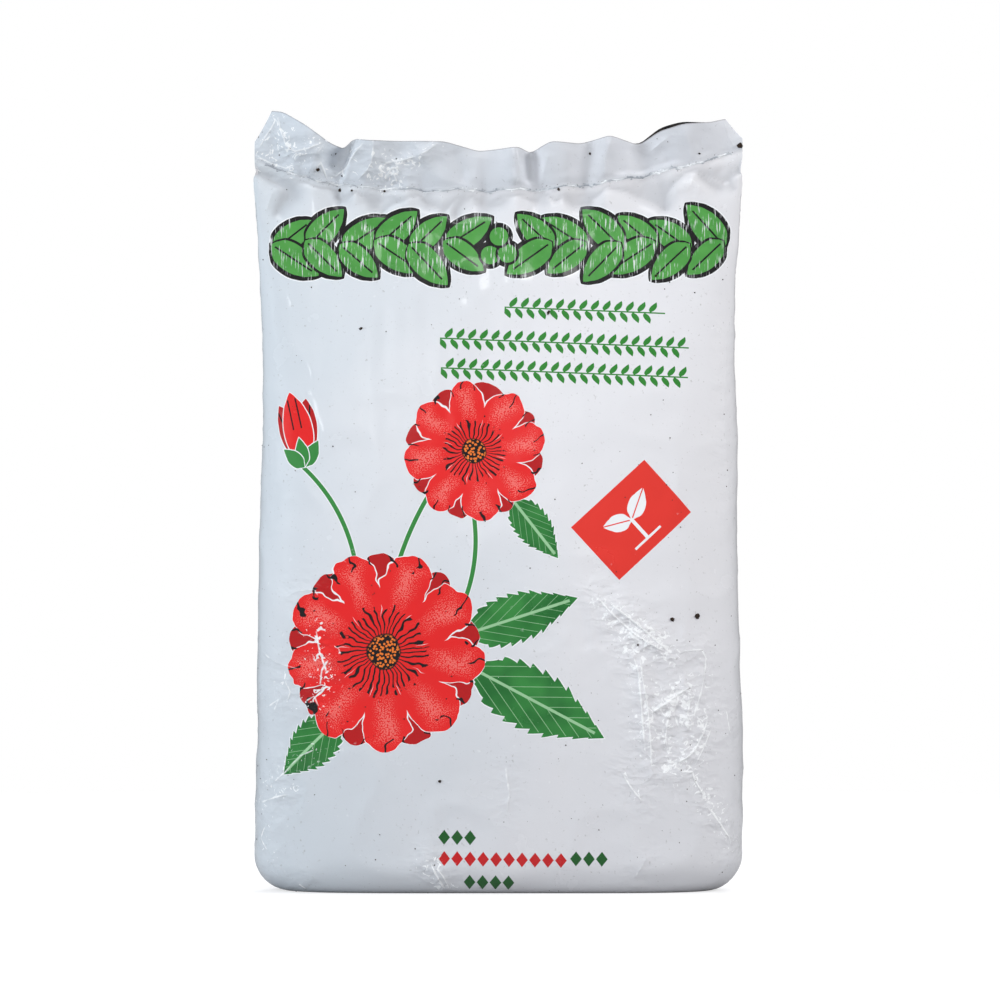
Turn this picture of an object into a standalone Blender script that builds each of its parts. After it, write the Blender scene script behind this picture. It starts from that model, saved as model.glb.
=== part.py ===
"""Four litre bag of compost: a tube of white film, welded shut, standing on its base.

The bag is one closed solid. Rings of points are lofted from the flat base up to the top
weld, on up the outside of the loose rim, over its cut edge, and down inside the narrow
pocket between the rim's two leaves. Metres, +Z up, the front faces -Y.

A place across the bag is a share of its half width: -1 is the left fold and 1 the right.
A place up the front is a share of the weld's height.
"""

import math
from dataclasses import dataclass

import bmesh
import bpy
import numpy as np

# Driving dimensions
BASE_WIDTH = 0.2445
WAIST_WIDTH = 0.2360
WELD_WIDTH = 0.2440
BASE_DEPTH = 0.0660
BELLY_DEPTH = 0.0690
WELD_HEIGHT = 0.3485
WELD_RISE_LEFT = 0.0160
WELD_RISE_RIGHT = 0.0205
WELD_BAND = 0.0024
RIM_LENGTH = 0.0245
RIM_GAP = 0.0050
LEAF_THICKNESS = 0.0004
POCKET_SLIT = 0.0004

# Rounding of the filled body at the floor, and its taper to the weld
BASE_ROUND_HEIGHT = 0.0170
BASE_ROUND_SIDE = 0.0180
BASE_ROUND_FRONT = 0.0110
BELLY_HEIGHT = 0.0800
WAIST_UNDER_WELD = 0.0830
SHOULDER_LENGTH = 0.2200
SHOULDER_POWER = 1.85
SHOULDER_FULLNESS = 0.88

# Flatness of the front and rear faces: 2 is an ellipse, and more is flatter
BASE_FLATNESS = 6.0
BELLY_FLATNESS = 4.6
WELD_FLATNESS = 3.0

# Rim: how fast the weld climbs to each side fold, and how far the corners draw in
RISE_POWER_LEFT = 4.0
RISE_POWER_RIGHT = 2.0
CORNER_INSET = 0.0085
CORNER_START = 0.3
WELD_SWING = 0.35
POCKET_FLOOR = 0.0016
REAR_RISE = 0.0018
REAR_RISE_PLACE = 0.69
REAR_RISE_REACH = 0.11

# Counts of the loft's columns and rings
COLUMNS = 112
ROUND_LEVELS = 5
BODY_LEVELS = 25
GATHER_LEVELS = 9
GATHER_ZONE = 0.0400
RIM_LEVELS = 6
POCKET_LEVELS = 4
SECTION_SAMPLES = 1440

# Film colour and gloss
FILM_COLOUR = (0.64, 0.69, 0.76, 1.0)
FILM_ROUGHNESS = 0.28


@dataclass(frozen=True)
class RimWave:
    """A place where both leaves of the rim swing back (+) or forward (-)."""

    place: float
    swing: float
    reach: float


@dataclass(frozen=True)
class Gather:
    """A furrow that runs down a face from the weld, and leans sideways as it fades."""

    place: float
    depth: float
    reach: float
    length: float
    lean: float


@dataclass(frozen=True)
class Fold:
    """A soft ridge (+) or valley (-) across the front, between two (across, up) places."""

    start: tuple[float, float]
    end: tuple[float, float]
    height: float
    reach: float


# Cut edge of the rim, left corner to right: (place, height over the plain rim)
RIM_CREST = (
    (-0.937, 0.0167),
    (-0.885, 0.0160),
    (-0.791, 0.0090),
    (-0.689, 0.0000),
    (-0.630, -0.0022),
    (-0.602, 0.0026),
    (-0.525, 0.0010),
    (-0.221, 0.0008),
    (-0.082, -0.0038),
    (0.086, -0.0018),
    (0.131, -0.0048),
    (0.213, 0.0008),
    (0.332, -0.0003),
    (0.455, 0.0037),
    (0.578, -0.0004),
    (0.660, 0.0060),
    (0.754, 0.0093),
    (0.869, 0.0105),
    (0.930, 0.0125),
)

RIM_WAVES = (
    RimWave(-0.918, 0.0040, 0.082),
    RimWave(-0.787, -0.0050, 0.090),
    RimWave(-0.656, 0.0085, 0.053),
    RimWave(-0.541, -0.0060, 0.074),
    RimWave(-0.328, -0.0020, 0.123),
    RimWave(-0.066, 0.0050, 0.090),
    RimWave(0.066, -0.0035, 0.049),
    RimWave(0.131, 0.0060, 0.041),
    RimWave(0.254, -0.0045, 0.074),
    RimWave(0.361, 0.0030, 0.057),
    RimWave(0.459, -0.0045, 0.066),
    RimWave(0.582, 0.0060, 0.066),
    RimWave(0.779, -0.0055, 0.115),
    RimWave(0.943, 0.0030, 0.066),
)

FRONT_GATHERS = (
    Gather(-0.926, 0.0026, 0.049, 0.0200, -0.8),
    Gather(-0.811, 0.0034, 0.057, 0.0300, -4.5),
    Gather(-0.623, 0.0030, 0.053, 0.0240, 0.8),
    Gather(-0.459, 0.0016, 0.049, 0.0160, 0.0),
    Gather(-0.303, 0.0022, 0.049, 0.0200, 2.0),
    Gather(-0.049, 0.0030, 0.053, 0.0220, -2.9),
    Gather(0.180, 0.0026, 0.053, 0.0230, 1.2),
    Gather(0.336, 0.0028, 0.049, 0.0160, -0.8),
    Gather(0.475, 0.0014, 0.041, 0.0140, 0.0),
    Gather(0.623, 0.0034, 0.053, 0.0300, 4.9),
    Gather(0.762, 0.0016, 0.049, 0.0160, 0.8),
    Gather(0.918, 0.0038, 0.053, 0.0260, 0.8),
)

REAR_GATHERS = (
    Gather(-0.885, 0.0034, 0.061, 0.0280, 1.6),
    Gather(-0.672, 0.0028, 0.057, 0.0240, -1.2),
    Gather(-0.443, 0.0032, 0.061, 0.0300, 0.8),
    Gather(-0.205, 0.0024, 0.053, 0.0200, -1.6),
    Gather(0.033, 0.0034, 0.066, 0.0320, 0.4),
    Gather(0.270, 0.0024, 0.053, 0.0220, 2.0),
    Gather(0.500, 0.0032, 0.061, 0.0280, -0.8),
    Gather(0.721, 0.0026, 0.053, 0.0220, 1.2),
    Gather(0.910, 0.0034, 0.057, 0.0300, -1.2),
)

FRONT_FOLDS = (
    Fold((0.34, 0.435), (0.70, 0.325), 0.0016, 0.0060),
    Fold((0.42, 0.395), (0.64, 0.290), -0.0014, 0.0080),
    Fold((0.56, 0.355), (0.64, 0.135), 0.0016, 0.0060),
    Fold((0.84, 0.375), (0.60, 0.250), 0.0014, 0.0060),
    Fold((0.84, 0.260), (0.98, 0.060), 0.0015, 0.0060),
    Fold((0.76, 0.240), (0.84, 0.110), -0.0015, 0.0070),
    Fold((-0.92, 0.345), (-0.66, 0.255), 0.0012, 0.0060),
    Fold((-0.80, 0.230), (-0.98, 0.150), 0.0012, 0.0060),
    Fold((-0.94, 0.900), (-0.70, 0.960), 0.0016, 0.0060),
)


def clear_scene():
    """Removes every object, so that only the bag is left."""
    for obj in list(bpy.data.objects):
        bpy.data.objects.remove(obj, do_unlink=True)


def ease(value):
    """Smooth step from 0 to 1."""
    value = np.clip(value, 0.0, 1.0)
    return value * value * (3.0 - 2.0 * value)


def weld_height(place):
    """Height of the weld line, which climbs to both side folds."""
    share = np.clip(np.abs(place), 0.0, 1.0)
    left = WELD_RISE_LEFT * share**RISE_POWER_LEFT
    right = WELD_RISE_RIGHT * share**RISE_POWER_RIGHT
    return WELD_HEIGHT + np.where(place < 0, left, right)


def crest_height(place, rear):
    """Height of the rim's cut edge, on the front leaf or the rear one."""
    stations = np.array(RIM_CREST)
    crest = WELD_HEIGHT + RIM_LENGTH + np.interp(place, stations[:, 0], stations[:, 1])
    rise = REAR_RISE * np.exp(-(((place - REAR_RISE_PLACE) / REAR_RISE_REACH) ** 2))
    return crest + np.where(rear, rise, 0.0)


def half_width(z):
    """Half the bag's width: widest at the base and the weld, narrowest at the waist."""
    waist = WELD_HEIGHT - WAIST_UNDER_WELD
    if z < waist:
        return (BASE_WIDTH + (WAIST_WIDTH - BASE_WIDTH) * float(ease(z / waist))) / 2
    share = float(ease((z - waist) / WAIST_UNDER_WELD))
    return (WAIST_WIDTH + (WELD_WIDTH - WAIST_WIDTH) * share) / 2


def half_depth(z):
    """Half the bag's depth: fullest at the belly, closing to the two leaves of the weld."""
    full = BASE_DEPTH + (BELLY_DEPTH - BASE_DEPTH) * float(ease(z / BELLY_HEIGHT))
    drop = min(max((WELD_HEIGHT - z) / SHOULDER_LENGTH, 0.0), 1.0)
    closing = (1.0 - (1.0 - drop) ** SHOULDER_POWER) ** SHOULDER_FULLNESS
    return LEAF_THICKNESS + (full / 2 - LEAF_THICKNESS) * closing


def flatness(z):
    """How flat the front and rear faces are at this height."""
    return float(
        np.interp(
            z,
            (0.0, BELLY_HEIGHT, WELD_HEIGHT),
            (BASE_FLATNESS, BELLY_FLATNESS, WELD_FLATNESS),
        )
    )


def section(across, through, power):
    """Points evenly spaced round the tube: left fold, front, right fold, rear.

    across and through are half sizes, and power is the flatness of the faces.
    """
    angle = np.linspace(0.0, 2 * math.pi, SECTION_SAMPLES + 1)
    cosine = np.cos(angle)
    x = -across * np.sign(cosine) * np.abs(cosine) ** (2 / power)
    y = -through * np.sin(angle)
    run = np.concatenate([[0.0], np.cumsum(np.hypot(np.diff(x), np.diff(y)))])
    stops = np.linspace(0.0, run[-1], COLUMNS, endpoint=False)
    return np.interp(stops, run, x), np.interp(stops, run, y)


def is_rear():
    """Which columns lie on the rear. The two side folds count as front."""
    return np.arange(COLUMNS) > COLUMNS // 2


def rim_swing(place, lift):
    """How far both leaves lie behind the weld's plane. lift is 1 for a full swing."""
    swing = sum(w.swing * np.exp(-(((place - w.place) / w.reach) ** 2)) for w in RIM_WAVES)
    return swing * lift


def gather_depth(place, drop, gathers):
    """Depth of the furrows, at a distance under the weld."""
    total = np.zeros_like(place)
    for g in gathers:
        along = np.clip(drop / g.length, 0.0, 1.0)
        fade = (1.0 - along) ** 2 * np.clip(4.0 * along, 0.25, 1.0)
        spread = g.reach * (1.0 + 0.6 * along)
        total += g.depth * fade * np.exp(-(((place - g.place - g.lean * drop) / spread) ** 2))
    return total


def fold_height(x, z, half):
    """How far the soft folds stand out of the front face."""
    total = np.zeros_like(x)
    for fold in FRONT_FOLDS:
        start = np.array([fold.start[0] * half, fold.start[1] * WELD_HEIGHT])
        run = np.array([fold.end[0] * half, fold.end[1] * WELD_HEIGHT]) - start
        length = math.hypot(*run)
        along = ((x - start[0]) * run[0] + (z - start[1]) * run[1]) / length**2
        aside = ((x - start[0]) * run[1] - (z - start[1]) * run[0]) / length
        fade = ease(4.0 * along) * ease(4.0 * (1.0 - along))
        total += fold.height * fade * np.exp(-((aside / fold.reach) ** 2))
    return total


def body_ring(share):
    """Ring of the filled body. share is 0 on the floor and 1 at the weld."""
    level = share * WELD_HEIGHT
    half, front = half_width(level), half_depth(level)
    if level < BASE_ROUND_HEIGHT:
        turn = math.acos(1.0 - level / BASE_ROUND_HEIGHT)
        half -= BASE_ROUND_SIDE * (1.0 - math.sin(turn))
        front -= BASE_ROUND_FRONT * (1.0 - math.sin(turn))
    x, y = section(half, front, flatness(level))
    place = x / half
    z = share * weld_height(place)
    drop = weld_height(place) - z
    inward = np.where(
        is_rear(),
        -gather_depth(place, drop, REAR_GATHERS),
        gather_depth(place, drop, FRONT_GATHERS) - fold_height(x, z, half),
    )
    inward *= 1.0 - np.abs(place) ** 8
    limit = 0.8 * front
    follow = ease(1.0 - drop / GATHER_ZONE)
    y += np.clip(inward, -limit, limit) + rim_swing(place, WELD_SWING) * follow
    return np.stack([x, y, z], axis=1)


def weld_ring(share):
    """Ring of the weld itself, where the two leaves are one."""
    x, y = section(WELD_WIDTH / 2, LEAF_THICKNESS, WELD_FLATNESS)
    place = x / (WELD_WIDTH / 2)
    z = weld_height(place) + share * WELD_BAND
    return np.stack([x, y + rim_swing(place, WELD_SWING), z], axis=1)


def rim_ring(lift, inside):
    """Ring of the loose rim, on its outer side or inside the pocket. lift is 1 at the cut edge."""
    half = WELD_WIDTH / 2 - CORNER_INSET * float(ease((lift - CORNER_START) / (1 - CORNER_START)))
    through = LEAF_THICKNESS + POCKET_SLIT / 2 + RIM_GAP / 2 * lift
    if inside:
        half -= LEAF_THICKNESS
        through -= LEAF_THICKNESS
    x, y = section(half, through, WELD_FLATNESS)
    place = x / (WELD_WIDTH / 2)
    low = weld_height(place) + WELD_BAND
    z = low + (crest_height(place, is_rear()) - low) * lift
    y += rim_swing(place, WELD_SWING + (1.0 - WELD_SWING) * lift)
    return np.stack([x, y, z], axis=1)


def body_levels():
    """Heights of the body's rings: the rounded foot, the tall faces, the gathers."""
    steps = np.linspace(0.0, math.pi / 2, ROUND_LEVELS, endpoint=False)
    foot = BASE_ROUND_HEIGHT * (1.0 - np.cos(steps))
    gather_start = WELD_HEIGHT - GATHER_ZONE
    tall = np.linspace(BASE_ROUND_HEIGHT, gather_start, BODY_LEVELS, endpoint=False)
    gathered = np.linspace(gather_start, WELD_HEIGHT, GATHER_LEVELS, endpoint=False)
    return np.concatenate([foot, tall, gathered])


def all_rings():
    """Every ring, from the floor, over the cut edge, to the floor of the pocket."""
    rings = [body_ring(level / WELD_HEIGHT) for level in body_levels()]
    rings += [weld_ring(0.0), weld_ring(1.0)]
    floor = POCKET_FLOOR / RIM_LENGTH
    rings += [rim_ring(lift, False) for lift in np.linspace(floor, 1.0, RIM_LEVELS)]
    rings += [rim_ring(lift, True) for lift in np.linspace(1.0, floor, POCKET_LEVELS)]
    return rings


def centred(rings):
    """The rings moved so that the middle of the footprint's box is the origin."""
    points = np.concatenate(rings)
    middle = (points.min(axis=0) + points.max(axis=0)) / 2
    return [ring - np.array([middle[0], middle[1], 0.0]) for ring in rings]


def film_material():
    """White gloss film."""
    film = bpy.data.materials.new("film")
    film.use_nodes = True
    shader = film.node_tree.nodes["Principled BSDF"]
    shader.inputs["Base Color"].default_value = FILM_COLOUR
    shader.inputs["Roughness"].default_value = FILM_ROUGHNESS
    shader.inputs["Metallic"].default_value = 0.0
    return film


def close_pocket(mesh, ring):
    """Joins the two leaves across the slit at the floor of the pocket."""
    for left in range(COLUMNS // 2):
        corners = [ring[left], ring[left + 1], ring[COLUMNS - left - 1], ring[-left]]
        mesh.faces.new(list(dict.fromkeys(corners)))


def make_bag():
    """Lofts the rings into the closed bag."""
    mesh = bmesh.new()
    rings = [[mesh.verts.new(point) for point in ring] for ring in centred(all_rings())]
    for lower, upper in zip(rings, rings[1:]):
        for column in range(COLUMNS):
            after = (column + 1) % COLUMNS
            mesh.faces.new((lower[column], lower[after], upper[after], upper[column]))
    mesh.faces.new(list(reversed(rings[0])))
    close_pocket(mesh, rings[-1])
    bmesh.ops.recalc_face_normals(mesh, faces=mesh.faces)
    for face in mesh.faces:
        face.smooth = True
    data = bpy.data.meshes.new("compost_bag")
    mesh.to_mesh(data)
    mesh.free()
    data.materials.append(film_material())
    bag = bpy.data.objects.new("compost_bag", data)
    bpy.context.scene.collection.objects.link(bag)


clear_scene()
make_bag()
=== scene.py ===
"""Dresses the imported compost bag: creased gloss film, printed front, weld bead and crumbs.

The film is one closed mesh. Rings of points rise from the base to the weld, go over the
cut edge of the loose rim and end inside it, where the film is black. Its print is drawn by
nodes on the map "film", which holds the distance round the film from the middle of the
front, and the height, both in metres.
"""

from __future__ import annotations

import logging
import math
from collections.abc import Iterable, Sequence
from dataclasses import dataclass, field
from enum import Enum
from functools import lru_cache

import bmesh
import bpy
import numpy as np
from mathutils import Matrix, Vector
from mathutils.bvhtree import BVHTree


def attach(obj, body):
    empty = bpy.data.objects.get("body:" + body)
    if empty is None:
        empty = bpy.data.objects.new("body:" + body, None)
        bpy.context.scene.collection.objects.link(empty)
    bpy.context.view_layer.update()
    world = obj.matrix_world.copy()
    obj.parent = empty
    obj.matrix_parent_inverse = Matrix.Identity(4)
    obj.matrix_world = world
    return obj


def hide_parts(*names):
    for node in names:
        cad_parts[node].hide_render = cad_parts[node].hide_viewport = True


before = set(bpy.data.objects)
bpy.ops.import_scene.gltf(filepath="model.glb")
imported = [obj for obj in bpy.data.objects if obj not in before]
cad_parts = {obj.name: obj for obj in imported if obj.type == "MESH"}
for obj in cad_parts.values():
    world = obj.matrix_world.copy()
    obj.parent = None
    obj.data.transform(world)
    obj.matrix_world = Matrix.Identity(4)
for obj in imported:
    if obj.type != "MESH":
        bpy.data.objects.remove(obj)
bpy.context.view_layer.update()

LOG = logging.getLogger("compost_bag")
NODE = "compost_bag"
BODY = "root"

Colour = tuple[float, float, float, float]
Pair = tuple[float, float]
Links = dict[str | int, object]


def ink(red: int, green: int, blue: int) -> Colour:
    """Turns an 8-bit screen colour into the linear one that a shader takes.

    Args:
        red: Red, 0 to 255.
        green: Green, 0 to 255.
        blue: Blue, 0 to 255.

    Returns:
        The linear colour with full alpha.
    """
    parts = (value / 255.0 for value in (red, green, blue))
    linear = (p / 12.92 if p <= 0.04045 else ((p + 0.055) / 1.055) ** 2.4 for p in parts)
    return (*linear, 1.0)


class Ink(Enum):
    """The inks and films that the bag is made in, and the tones of painted shade and highlight laid on the
    film.
    """

    # painted shade: darker, bluer film tone laid towards the left side
    FILM_LEFT_SHADE = ink(207, 214, 221)
    FILM_WARM = ink(225, 225, 229)
    # partly real whitening of hard creases, partly painted highlight: the white of crease crests and crinkle
    # glints
    WHITENING_AND_GLINT = ink(246, 248, 250)
    # painted shade: grey laid towards the foot and at the weld
    FILM_HEIGHT_SHADE = ink(150, 156, 164)
    # painted shade: darker, bluer grey of the rim above the weld
    BAND_SHADE = ink(188, 199, 212)
    SHADE = ink(150, 152, 158)
    SOIL = ink(48, 40, 34)
    EDGE = ink(96, 84, 80)
    HALO = ink(236, 238, 241)
    BLACK = ink(17, 14, 16)
    GARLAND = ink(84, 160, 74)
    GARLAND_DEEP = ink(66, 140, 60)
    LEAF = ink(52, 132, 60)
    LEAF_DEEP = ink(30, 104, 44)
    LEAF_PALE = ink(150, 196, 150)
    SPRIG = ink(44, 128, 44)
    MARK_GREEN = ink(14, 84, 26)
    MARK_RED = ink(190, 18, 22)
    PETAL = ink(226, 30, 30)
    PETAL_DEEP = ink(178, 14, 18)
    STIPPLE = ink(240, 132, 124)
    POLLEN = ink(232, 120, 42)
    PANEL = ink(224, 52, 42)


def ease(value: np.ndarray | float) -> np.ndarray:
    """Smooth step from 0 to 1."""
    value = np.clip(value, 0.0, 1.0)
    return value * value * (3.0 - 2.0 * value)


@dataclass(frozen=True)
class Wave:
    """A place where both leaves of the rim swing back (+) or forward (-).

    place and reach are shares of the weld's half width, and lean is how far the wave's
    middle moves across per share of the rim's height.
    """

    place: float
    swing: float
    reach: float
    lean: float = 0.0


@dataclass(frozen=True)
class Gather:
    """A furrow that runs down a face from the weld, and leans sideways as it fades."""

    place: float
    depth: float
    reach: float
    length: float
    lean: float


@dataclass(frozen=True)
class Crease:
    """A ridge (+) or valley (-) of the front film along a line of (x, z) points, in metres.

    reach is how far it spreads, sharp the height of its crisp line, and power how round it is:
    near 1 the ridge is a fold with an edge.
    """

    line: tuple[Pair, ...]
    height: float
    reach: float
    sharp: float
    power: float

    @classmethod
    def of(cls, height: int, reach: int, sharp: int, power: float, *points: tuple[int, int]) -> Crease:
        """A crease from a row of the table."""
        line = tuple((x / 10000, z / 10000) for x, z in points)
        return cls(line, height / 10000, reach / 10000, sharp / 100000, power)

    def spans(self) -> list[tuple[np.ndarray, np.ndarray, float, float]]:
        """Each straight stretch: its two ends, and where it starts and stops on the whole."""
        points = np.array(self.line)
        lengths = np.hypot(*np.diff(points, axis=0).T)
        marks = np.concatenate([[0.0], np.cumsum(lengths)]) / lengths.sum()
        return list(zip(points[:-1], points[1:], marks[:-1], marks[1:]))

    def distance(self, x: np.ndarray, z: np.ndarray) -> tuple[np.ndarray, np.ndarray]:
        """How far places lie from the line, and how far along it their nearest points are."""
        nearest, place = np.full_like(x, 1.0), np.zeros_like(x)
        for start, end, low, high in self.spans():
            run = end - start
            dx, dz = x - start[0], z - start[1]
            along = np.clip((dx * run[0] + dz * run[1]) / (run @ run), 0.0, 1.0)
            far = np.hypot(dx - along * run[0], dz - along * run[1])
            place = np.where(far < nearest, low + along * (high - low), place)
            nearest = np.minimum(far, nearest)
        return nearest, place


@dataclass(frozen=True)
class Crumple:
    """A patch of the front where the film is finely crinkled: middle, half sizes, depth."""

    x: float
    z: float
    across: float
    up: float
    depth: float = 0.00030


class Lattice:
    """Smooth noise on a lattice of random numbers, the same on every run."""

    SIZE = 64

    def __init__(self, seed: int) -> None:
        """Fills the lattice.

        Args:
            seed: Seed of the random numbers.
        """
        self.values = np.random.default_rng(seed).uniform(-1.0, 1.0, (self.SIZE,) * 3)

    def at(self, points: np.ndarray, pitch: float) -> np.ndarray:
        """Reads the noise.

        Args:
            points: Points in metres, with x, y and z along the last axis.
            pitch: Distance between lattice points, in metres.

        Returns:
            Values from -1 to 1, one for each point.
        """
        spot = points / pitch
        cell = np.floor(spot).astype(int)
        part = ease(spot - cell)
        total = np.zeros(points.shape[:-1])
        for corner in np.ndindex(2, 2, 2):
            index = (cell + corner) % self.SIZE
            weight = np.prod(np.where(corner, part, 1.0 - part), axis=-1)
            total += weight * self.values[index[..., 0], index[..., 1], index[..., 2]]
        return total

    def ridged(self, points: np.ndarray, pitch: float) -> np.ndarray:
        """Noise with crisp crests, as in crumpled film. Values from 0 to 1."""
        return 1.0 - 2.0 * np.minimum(np.abs(self.at(points, pitch)), 0.5)


RIM_WAVES = tuple(
    Wave(*row)
    for row in (
        (-0.918, 0.0040, 0.082), (-0.787, -0.0050, 0.090), (-0.541, -0.0060, 0.074, 0.05),
        (-0.328, -0.0020, 0.123), (-0.066, 0.0050, 0.090, 0.03), (0.066, -0.0035, 0.049),
        (0.131, 0.0060, 0.041, -0.03), (0.254, -0.0045, 0.074), (0.361, 0.0030, 0.057, 0.03),
        (0.459, -0.0045, 0.066), (0.582, 0.0060, 0.066, -0.04), (0.779, -0.0055, 0.115),
        (0.943, 0.0030, 0.066),
    )
)

FRONT_GATHERS = tuple(
    Gather(*row)
    for row in (
        (-0.926, 0.0035, 0.049, 0.0200, -0.8), (-0.811, 0.0046, 0.057, 0.0300, -4.5),
        (-0.623, 0.0041, 0.053, 0.0240, 0.8), (-0.459, 0.0022, 0.049, 0.0160, 0.0),
        (-0.303, 0.0030, 0.049, 0.0200, 2.0), (-0.049, 0.0041, 0.053, 0.0220, -2.9),
        (0.180, 0.0035, 0.053, 0.0230, 1.2), (0.336, 0.0038, 0.049, 0.0160, -0.8),
        (0.475, 0.0019, 0.041, 0.0140, 0.0), (0.623, 0.0046, 0.053, 0.0300, 4.9),
        (0.762, 0.0022, 0.049, 0.0160, 0.8), (0.918, 0.0051, 0.053, 0.0260, 0.8),
    )
)

REAR_GATHERS = tuple(
    Gather(*row)
    for row in (
        (-0.885, 0.0034, 0.061, 0.0280, 1.6), (-0.672, 0.0028, 0.057, 0.0240, -1.2),
        (-0.443, 0.0032, 0.061, 0.0300, 0.8), (-0.205, 0.0024, 0.053, 0.0200, -1.6),
        (0.033, 0.0034, 0.066, 0.0320, 0.4), (0.270, 0.0024, 0.053, 0.0220, 2.0),
        (0.500, 0.0032, 0.061, 0.0280, -0.8), (0.721, 0.0026, 0.053, 0.0220, 1.2),
        (0.910, 0.0034, 0.057, 0.0300, -1.2),
    )
)

# Lower edge of the small swags under the weld, left to right: (place, distance under the weld)
HEM = (
    (-0.986, 0.0066), (-0.924, 0.0066), (-0.869, 0.0070), (-0.835, 0.0045), (-0.815, 0.0020),
    (-0.658, 0.0016), (-0.625, 0.0073), (-0.584, 0.0020), (-0.530, 0.0040), (-0.482, 0.0100),
    (-0.449, 0.0075), (-0.380, 0.0040), (-0.326, 0.0018), (-0.278, 0.0060), (-0.223, 0.0095),
    (-0.176, 0.0040), (-0.108, 0.0022), (-0.057, 0.0056), (0.019, 0.0027), (0.070, 0.0016),
    (0.144, 0.0038), (0.202, 0.0018), (0.232, 0.0054), (0.268, 0.0040), (0.334, 0.0070),
    (0.400, 0.0045), (0.436, 0.0020), (0.510, 0.0045), (0.568, 0.0076), (0.619, 0.0080),
    (0.680, 0.0120), (0.729, 0.0054), (0.765, 0.0020), (0.817, 0.0027), (0.875, 0.0080),
    (0.927, 0.0130), (0.949, 0.0116), (0.978, 0.0100),
)

# Cut edge of the rim, left corner to right: (place, height over the plain rim)
RIM_CREST = (
    (-0.937, 0.0167), (-0.885, 0.0160), (-0.791, 0.0090), (-0.689, 0.0000), (-0.625, -0.0028),
    (-0.609, 0.0024), (-0.525, 0.0010), (-0.221, 0.0008), (-0.082, -0.0038), (0.086, -0.0018),
    (0.131, -0.0048), (0.213, 0.0008), (0.332, -0.0003), (0.455, 0.0037), (0.578, -0.0004),
    (0.660, 0.0060), (0.754, 0.0093), (0.869, 0.0105), (0.930, 0.0125),
)

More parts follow.
